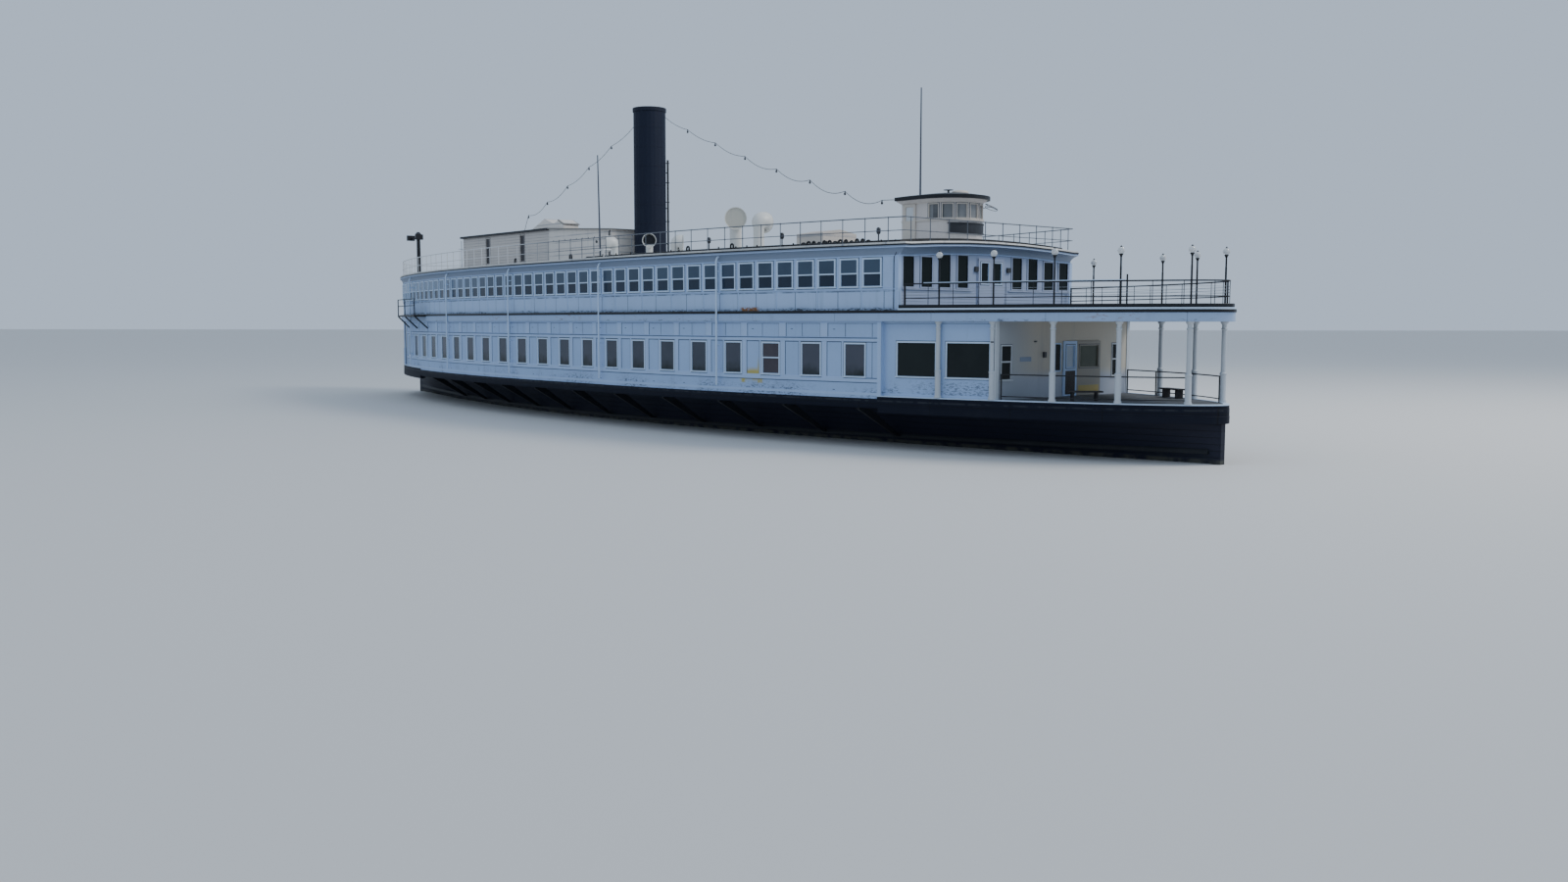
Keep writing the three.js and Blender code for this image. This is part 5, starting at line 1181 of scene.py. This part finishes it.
RAIL_INSET = 0.1
rail_right = run(-HALF_LENGTH + RAIL_INSET, HOUSE_FRONT + 0.35, -RAIL_INSET, 200)
rail_line = np.vstack([rail_right, mirrored(rail_right)[:-1]])
stations = evenly(rail_line, UPPER_PITCH, True)
TOP_RAIL, MIDDLE_RAIL = 10.32, 9.74
rail_parts = [pipe_loop(rail_line, TOP_RAIL, 0.025), pipe_loop(rail_line, MIDDLE_RAIL, 0.018)]
foot = lifted(stations, 9.16)
foot[:, 2] += front_rise(*stations.T)
rail_parts.append(rods(foot, lifted(stations, TOP_RAIL), 0.02, 8))
rail_parts.append(rods(foot, foot + [0, 0, 0.05], 0.07, 8, 0.03))
ball = turned([[0, -0.038], [0.028, -0.028], [0.038, 0], [0.028, 0.028], [0, 0.038]], 8)
rail_parts += [shifted(ball, lifted(stations, height)) for height in (TOP_RAIL, MIDDLE_RAIL)]
roof_pipes = piece("roof_rail_pipes", rail_parts, "roof_rail_pipe", poles=True)
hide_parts("roof_rail")

# The rail of the open front deck: black rails, pale wires, lamp posts and globes.
end_start = HOUSE_FRONT + 0.3
end_line = end_arc(end_start, -RAIL_INSET, 160)
deck_parts = [tube(lifted(end_line, UPPER_DECK + h), r) for h, r in ((1.17, 0.03), (0.55, 0.022))]
wires = [tube(lifted(end_line, UPPER_DECK + h), 0.008, 6) for h in (0.70, 0.82, 0.94)]
posts = stations_at(POST_X, -RAIL_INSET)
extra = np.vstack([stations_at([end_start + 0.05], -RAIL_INSET), [[36.9, 0, 0]]])
# The second post on the left-hand side carries no lamp.
lamps = np.delete(posts, len(POST_X) + 1, 0)
between_posts = evenly(end_line, 1.2)
POST_FOOT = 6.24
deck_parts += [rods(posts + [0, 0, POST_FOOT], posts + [0, 0, 7.96], 0.04, 8),
               rods(extra + [0, 0, POST_FOOT], extra + [0, 0, 7.4], 0.035, 8),
               rods(lifted(between_posts, POST_FOOT), lifted(between_posts, 7.38), 0.014, 6)]
collar = turned([[0, 0], [0.035, 0], [0.035, 0.42], [0.05, 0.44], [0.05, 0.47], [0.08, 0.5], [0.09, 0.54],
                 [0, 0.54]], 12)
finial = turned([[0, 0], [0.04, 0], [0.05, 0.02], [0.02, 0.05], [0, 0.08]], 10)
deck_parts += [shifted(collar, lamps + [0, 0, 7.92]), shifted(finial, lamps + [0, 0, 8.725])]
deck_rail = piece("end_deck_rails", deck_parts, "black_gloss", poles=True)
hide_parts("end_deck_rail")
piece("end_deck_wires", wires, "pale_wire")
GLOBE_FOOT, GLOBE_RADIUS = 8.445, 0.145
angle = np.linspace(0, np.pi, 13)
globe = turned(xyz(GLOBE_RADIUS * np.sin(angle), GLOBE_FOOT + GLOBE_RADIUS * (1 - np.cos(angle))), 20)
piece("lamp_globes", [shifted(globe, lamps)], "globe_glass", poles=True)
waist = turned([[0.141, 8.56], [0.150, 8.565], [0.150, 8.585], [0.141, 8.59], [0.141, 8.56]], 20)
piece("lamp_globe_bands", [shifted(waist, lamps)], "white_pipe", poles=True)
HANDRAIL = [[0.02, 7.40], [0.05, 7.41], [0.05, 7.435], [-0.05, 7.435], [-0.05, 7.41], [-0.02, 7.40]]
capped_line = end_line[(end_line[:, 1] < 0) & (end_line[:, 0] > 25.6) & (end_line[:, 0] < 34)]
piece("end_deck_handrail", [sweep(capped_line, HANDRAIL)], "bright_trim")


# Ventilator cowls: a bent trunk opening into a wide mouth, hollow, with a rolled rim.

def cowl(origin, radius, height, mouth, heading):
    """Rings carried up the trunk and round a quarter bend, then back down inside from the mouth."""
    sides = 28
    bend = np.radians(np.linspace(0, 90, 15))
    reach = mouth * BEND
    path = np.vstack([[[0, 0], [0, 0.06], [0, height * 0.6]],
                      xyz(reach * (1 - np.cos(bend)), height + reach * np.sin(bend)),
                      [[reach + mouth * 0.4, height + reach], [reach + mouth * 0.44, height + reach]]])
    grow = np.interp(np.degrees(bend), [0, 25, 50, 75, 90], [0.03, 0.35, 0.7, 0.92, 1])
    size = np.concatenate([[radius * 1.2, radius, radius], radius + (mouth - radius) * grow,
                           [mouth, mouth * 1.04]])
    tilt = np.concatenate([[0, 0, 0], bend, [np.pi / 2, np.pi / 2]])
    inner = slice(len(path) - 1, 3, -1)
    path, tilt = np.vstack([path, path[inner]]), np.concatenate([tilt, tilt[inner]])[:, None]
    size = np.concatenate([size, size[inner] - 0.02])[:, None]
    across_bend = size * np.cos(around(sides))
    x = path[:, :1] + across_bend * np.cos(tilt)
    z = path[:, 1:] - across_bend * np.sin(tilt)
    y = size * np.sin(around(sides))
    c, s = math.cos(heading), math.sin(heading)
    points = xyz(x * c - y * s, x * s + y * c, z).reshape(-1, 3) + origin
    return points, belt(len(path), sides, False)


# How far the bend reaches, in radii of the mouth.
BEND = 0.62
COWLS = {
    "cowl_rear": (-2.55, -3.2, 0.22, 0.82, 0.47, -128), "cowl_middle": (1.15, -3.2, 0.20, 0.86, 0.40, -36),
    "cowl_front": (3.68, -3.2, 0.22, 0.58, 0.46, 50), "cowl_tall_rear": (7.3, -1.6, 0.33, 1.69, 0.6, -38),
    "cowl_tall_front": (9.22, -1.5, 0.3, 1.46, 0.57, 110)}
for name, (x, y, radius, height, mouth, heading) in COWLS.items():
    origin = np.array([x, y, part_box(name)[0][2] / SCALE])
    made = piece(name + "_shell", [cowl(origin, radius, height, mouth, math.radians(heading))], "cowl_white")
    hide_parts(name)
# Inside the mouths: a canvas cover in the tall rear cowl, and in the middle and front cowls a black disc set
# inside the mouth, which is painted shade.
for name, inset, share, paint in (("cowl_tall_rear", 0.92, 0.97, "cover_canvas"),
                                  ("cowl_middle", 0.5, 0.8, "black_gloss"),
                                  ("cowl_front", 0.5, 0.8, "black_gloss")):
    x, y, radius, height, mouth, heading = COWLS[name]
    ahead = np.array([math.cos(math.radians(heading)), math.sin(math.radians(heading)), 0])
    centre = np.array([x, y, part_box(name)[0][2] / SCALE + height + mouth * BEND]) + ahead * mouth * inset
    piece(name + "_inside", [rods(centre, centre + ahead * 0.03, mouth * share, 28)], paint)

# Fittings on the walls: lamps, hinges, a conduit down the corner, a blank plate and a sidelight.
hinge_y, hinge_z = (part.ravel() for part in np.meshgrid([-0.87, 0.90], [6.62, 7.3, 7.93, 8.55]))
fittings = [slab(across([-1.01, 1.27], end_face, 8.05), [-0.12, -0.01, 0], [0.12, 0.08, 0.23]),
            slab(across([-1.53], porch_face, 4.17), [-0.08, -0.01, 0], [0.08, 0.10, 0.25]),
            slab(across([-2.14, -5.0], porch_face, 4.85), [-0.06, -0.01, 0], [0.06, 0.06, 0.06]),
            shifted(blocks([0, -0.035, 0], [0.05, 0.035, 0.1]), xyz(end_face, hinge_y, hinge_z))]
conduit_x = np.array([24.46, 24.40, 24.34, 24.24, 24.23, 24.23, 24.23])
conduit_y = -half_at(conduit_x, -UPPER_INSET) - 0.03
fittings.append(tube(xyz(conduit_x, conduit_y, [9.02, 8.86, 8.74, 8.58, 8.4, 7.3, 6.3]), 0.016, 6))
piece("wall_fittings", fittings, "dark_fitting")
plate = slab(across([-2.77], porch_face, 4.02), [-0.37, -0.01, 0], [0.37, 0.02, 0.2])
piece("blank_plate", [plate], "frieze_shade_grey")
sidelight = across([-0.57], porch_face, 3.58)
piece("sidelight_pane", [slab(sidelight, [-0.19, -0.01, 0], [0.19, 0.012, 1.17])], "end_window_glass")
sidelight_rim = stand(sidelight, rim(0.38, 1.17, flat_bar(-0.01, 0.05, 0.03, -0.01)))
piece("sidelight_frame", [sidelight_rim], "white_trim")


# The wheelhouse: a blank board, ledges, skirting, a dome and vent on its roof and a bracket of bent rod.

def wheelhouse_arc(half_angle):
    """The wall's curve, this many degrees to each side of straight ahead."""
    return on_wheelhouse(np.radians(np.linspace(-half_angle, half_angle, 48)))


rear_corner = np.array([[WHEELHOUSE_REAR, -WHEELHOUSE_RADIUS]])
round_front = np.vstack([rear_corner, wheelhouse_arc(90), rear_corner * [1, -1]])
name_board = [sweep(wheelhouse_arc(48), strip(9.92, 10.38, 0.05, -0.02))]
name_board += [sweep(wheelhouse_arc(50), strip(z, z + 0.05, 0.08, -0.02)) for z in (9.89, 10.35)]
piece("wheelhouse_board", name_board, "board_black")
ledges = [sweep(round_front, strip(*ledge, -0.02)) for ledge in ((10.50, 10.55, 0.06), (11.34, 11.38, 0.03))]
piece("wheelhouse_ledges", ledges, "cream_trim")
piece("wheelhouse_skirting", [sweep(round_front, strip(9.30, 9.56, 0.03, -0.03), True)], "black_gloss")
dome = turned([[0.42, 11.84], [0.42, 11.88], [0.36, 11.95], [0.2, 11.99], [0, 12.0]], 24)
piece("wheelhouse_dome", [shifted(dome, [22.5, 0.1, 0])], "cream_trim", poles=True)
vent = turned([[0, 11.84], [0.05, 11.84], [0.05, 11.97], [0.24, 11.98], [0.24, 12.0], [0, 12.0]], 10)
turn = np.linspace(0, 2 * np.pi, 25)
loops = [tube(xyz(23.66 + 0.22 * np.cos(turn + k), 1.04 + 0.36 * np.sin(turn + k),
                  11.12 + 0.08 * k - 0.13 * np.cos(turn)), 0.014, 6) for k in (0, 1)]
stay = rods([23.1, 1.0, 11.15], [23.6, 1.1, 11.2], 0.014)
piece("wheelhouse_bracket", [shifted(vent, [22.3, -0.5, 0]), *loops, stay], "dark_fitting", poles=True)


# Along the roof's edge: two cables and their clips, bent vents, searchlights and an open frame.

def bent(place, width, height, radius, heading=(1.0, 0.0)):
    """An upturned loop of pipe, its width along a heading."""
    angle = np.linspace(0, np.pi, 9)
    flat = np.concatenate([[width / 2], width / 2 * np.cos(angle), [-width / 2]])
    up = np.concatenate([[0], height + width / 2 * np.sin(angle), [0]])
    return tube(xyz(flat * heading[0], flat * heading[1], up) + place, radius)


def roof_place(x, inset=0.45, height=9.19):
    """Places on the roof at stations, this far inside its right-hand edge."""
    y = half_at(x, ROOF_OUT - inset)
    return xyz(x, -y, height + front_rise(x, y))


hose = roof_place(np.linspace(2, 24.3, 90))[:, :2]
hose = np.vstack([hose, xyz(24.42, np.linspace(-5.4, 5.4, 25))])
hose_z = 9.25 + front_rise(*hose.T) + np.where(hose[:, 0] > 24.3, 0.02, 0)
hoses = [tube(xyz(hose[:, 0], hose[:, 1] + d, hose_z + up), 0.045) for d, up in ((0, 0.0), (0.07, 0.055))]
vents = [bent(place, 0.22, 0.22, 0.045) for place in roof_place(np.array([11.28, 14.5, -6.0, 0.4]))]
for number, place in enumerate(roof_place(np.linspace(18.7, 22.4, 13), 0.9, 9.2)):
    width = 0.16 + 0.10 * math.cos(number) ** 2
    height = 0.07 + 0.16 * math.sin(number * 2.1) ** 4
    vents.append(bent(place, width, height, 0.05, (1.0, 0.25 * math.cos(number))))
clip_x = np.linspace(2.6, 24.0, 36) + 0.15 * np.sin(np.arange(36) * 2.4)
clips_low = roof_place(clip_x, 0.5)
clips = rods(clips_low, clips_low + xyz(0.0, 0.0, 0.18 + 0.06 * np.sin(clip_x * 9)), 0.035, 6)
piece("roof_hoses", hoses + vents + [clips], "black_wire")
lights_at = roof_place(np.array([12.86, 17.79, 23.27]))
head = turned([[0, 0.42], [0.07, 0.43], [0.10, 0.50], [0.10, 0.66], [0.06, 0.72], [0, 0.73]], 12)
stalk = turned([[0, 0], [0.10, 0], [0.10, 0.03], [0.03, 0.06], [0.03, 0.44], [0, 0.44]], 10)
piece("roof_searchlights", [shifted(head, lights_at), shifted(stalk, lights_at)], "dark_fitting",
      slot="grey_steel", poles=True)
frame_path = roof_place(np.array([2.94, 2.94, 3.94, 3.94]), 0.4)
frame_path[:, 2] = [9.17, 9.66, 9.66, 9.17]
depth = np.array([0, 0.5, 0.02])
frame_rods = [rods(frame_path[:-1] + d, frame_path[1:] + d, 0.03, 8) for d in (0 * depth, depth)]
frame_rods.append(rods(frame_path[1:3], frame_path[1:3] + depth, 0.03, 8))
piece("roof_frame", frame_rods, "white_pipe")


# On the casing: a raised hatch and flap, a row of marks, a port and a downpipe; astern, an aerial.

def carried(outline, step):
    """An outline of points carried by one step into a closed shell."""
    outline = np.array(outline)
    return np.vstack([outline, outline + step]), belt(2, len(outline), False)


hatch = xyz([-11.9, -10.6, -10.6, -11.27, -11.9], -1.98, [11.8, 11.7, 12.1, 12.42, 12.25])
flap = [[-11.33, -0.78, 12.46], [-10.50, -0.78, 12.13], [-10.56, -2.02, 12.12], [-11.29, -2.02, 12.44]]
panel = [[-11.25, -0.88, 12.48], [-10.60, -0.88, 12.22], [-10.66, -1.92, 12.21], [-11.21, -1.92, 12.46]]
piece("skylight_hatch", [carried(hatch, [0, 1.16, 0])], "casing_boards")
piece("skylight_flap", [carried(flap, [0, 0, 0.05])], "casing_lead")
piece("skylight_flap_panel", [carried(panel, [0, 0, 0.02])], "casing_boards")
mark = blocks([-0.03, -2.015, 11.08], [0.03, -1.98, 11.14])
marks = [shifted(mark, xyz(np.linspace(-11.84, -6.77, 8), 0, 0)),
         rods([-6.49, -1.98, 10.81], [-6.49, -2.05, 10.81], 0.09, 12),
         tube(xyz(-4.95, [-1.95, -2.06, -2.06, -2.06], [11.45, 11.38, 11.2, 9.6]), 0.04)]
piece("casing_marks", marks, "dark_fitting")
aerial = [rods([-25.1, -2.06, 9.35], [-25.1, -2.06, 11.7], 0.025),
          rods([-25.1, -2.3, 11.1], [-25.1, -1.8, 11.1], 0.015)]
aerial += [rods([-25.1, -2.0, z], [-24.88, -1.98, z], 0.015) for z in (9.7, 11.0)]
piece("deckhouse_aerial", aerial, "pale_wire")

# Brackets between the funnel and its pipe, and the cap of the floodlight's lamp.
PIPE_HEADING = 0.87
pipe_at = np.array([math.cos(PIPE_HEADING), math.sin(PIPE_HEADING), 0.0])
steps = xyz(-3.4, 0.0, np.array([12.0, 13.2, 14.4, 15.6]))
piece("funnel_brackets", [rods(steps + pipe_at * 0.96, steps + pipe_at * 1.22, 0.03)], "dark_fitting")
flood_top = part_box("floodlight_post")[1][2] / SCALE
shade = turned([[0, 0.0], [0.22, 0.0], [0.24, 0.04], [0.10, 0.20], [0, 0.22]], 14)
piece("floodlight_heads", [shifted(shade, [-30.4, -3.0, flood_top - 0.02])], "dark_fitting", poles=True)

# Strings of lamps from the funnel down to the wheelhouse and to the deckhouse, with the dip of each span.
STRINGS = ([(-2.62, 0.62, 18.42), (0.02, 0.44, 17.34), (3.29, 0.05, 16.19), (6.55, -0.33, 15.07),
            (9.77, -0.70, 14.06), (12.97, -1.08, 13.18), (16.07, -1.44, 12.34), (19.12, -1.80, 11.65),
            (20.19, -1.87, 11.6)],
           [(-4.02, -0.77, 17.83), (-6.20, -1.01, 16.86), (-8.48, -1.27, 15.73), (-10.73, -1.54, 14.68),
            (-12.94, -1.79, 13.76), (-15.07, -2.04, 12.99), (-15.55, -2.09, 11.97)])
DIPS = [0.12, 0.16, 0.2, 0.26, 0.3, 0.34, 0.36]
string_lines, bulbs = [], []
bulb = turned([[0, 0], [0.03, 0], [0.03, -0.07], [0.055, -0.11], [0.06, -0.16], [0.03, -0.2], [0, -0.21]], 8)
share = np.linspace(0, 1, 13)
for points in map(np.array, STRINGS):
    dip = np.array(DIPS[:len(points) - 2] + [0.0])
    spans = points[:-1, None] + np.diff(points, axis=0)[:, None] * share[:, None]
    spans[..., 2] -= dip[:, None] * 4 * share * (1 - share)
    string_lines.append(tube(np.vstack([spans[:, :-1].reshape(-1, 3), points[-1:]]), 0.014, 6))
    bulbs.append(shifted(bulb, points[1:-1]))
piece("light_strings", string_lines, "black_wire")
piece("light_string_bulbs", bulbs, "dark_fitting", poles=True)


# Camera and stage.

def turned_to(right, top, back):
    """A turn whose axes are these three directions."""
    return Matrix(np.stack([right, top, back], 1).tolist()).to_4x4()


# The camera: its place, its turns in radians, its lens in millimetres and how far it sees.
CAMERA_AT = np.array([65.4858, -47.4024, 5.695])
PSI, TILT, ROLL = -0.8672881, 0.0902673, -0.0009439
FOCAL_LENGTH = 30.07
SENSOR = 36.0
CLIP_END = 500.0
ahead = np.array([math.sin(PSI) * math.cos(TILT), math.cos(PSI) * math.cos(TILT), -math.sin(TILT)])
right = np.array([math.cos(PSI), -math.sin(PSI), 0.0])
top = np.cross(right, ahead)
camera_right = right * math.cos(ROLL) - top * math.sin(ROLL)
camera_top = right * math.sin(ROLL) + top * math.cos(ROLL)
lens = bpy.data.cameras.new("camera")
lens.lens = FOCAL_LENGTH
lens.sensor_width = SENSOR
lens.clip_end = CLIP_END
camera = bpy.data.objects.new("camera", lens)
camera.matrix_world = Matrix.Translation(CAMERA_AT * SCALE) @ turned_to(camera_right, camera_top, -ahead)
bpy.context.scene.collection.objects.link(camera)
bpy.context.scene.camera = camera

# The floor, lamps and sky, in metres of the model.
FAR = 900
MIDDLE = np.array([0.0, 0.0, 3.0])
SKY = (0.70, 0.85, 1.06, 1)
SKY_STRENGTH = 0.72
floor_mesh = bpy.data.meshes.new("floor")
floor_mesh.from_pydata([[-FAR, -FAR, 0], [FAR, -FAR, 0], [FAR, FAR, 0], [-FAR, FAR, 0]], [], [[0, 1, 2, 3]])
floor = bpy.data.objects.new("floor", floor_mesh)
bpy.context.scene.collection.objects.link(floor)
floor_mesh.materials.append(Paint("pale_floor", (0.70, 0.69, 0.67)).finish(0.9))


def lamp(name, place, size, power, colour):
    """A square soft light aimed at the middle of the ship."""
    light = bpy.data.lights.new(name, "AREA")
    light.size = size
    light.energy = power
    light.color = colour
    holder = bpy.data.objects.new(name, light)
    aim = unit(MIDDLE - place)
    side = unit(np.cross(aim, UP))
    holder.matrix_world = Matrix.Translation(place) @ turned_to(side, np.cross(side, aim), -aim)
    bpy.context.scene.collection.objects.link(holder)


lamp("key", (34.0, 22.0, 40.0), 18, 14000, (1.0, 0.98, 0.95))
lamp("fill", (-6.0, -46.0, 36.0), 26, 900, (0.70, 0.88, 1.15))
world = bpy.data.worlds.new("studio")
bpy.context.scene.world = world
world.use_nodes = True
world.node_tree.nodes["Background"].inputs["Color"].default_value = SKY
world.node_tree.nodes["Background"].inputs["Strength"].default_value = SKY_STRENGTH
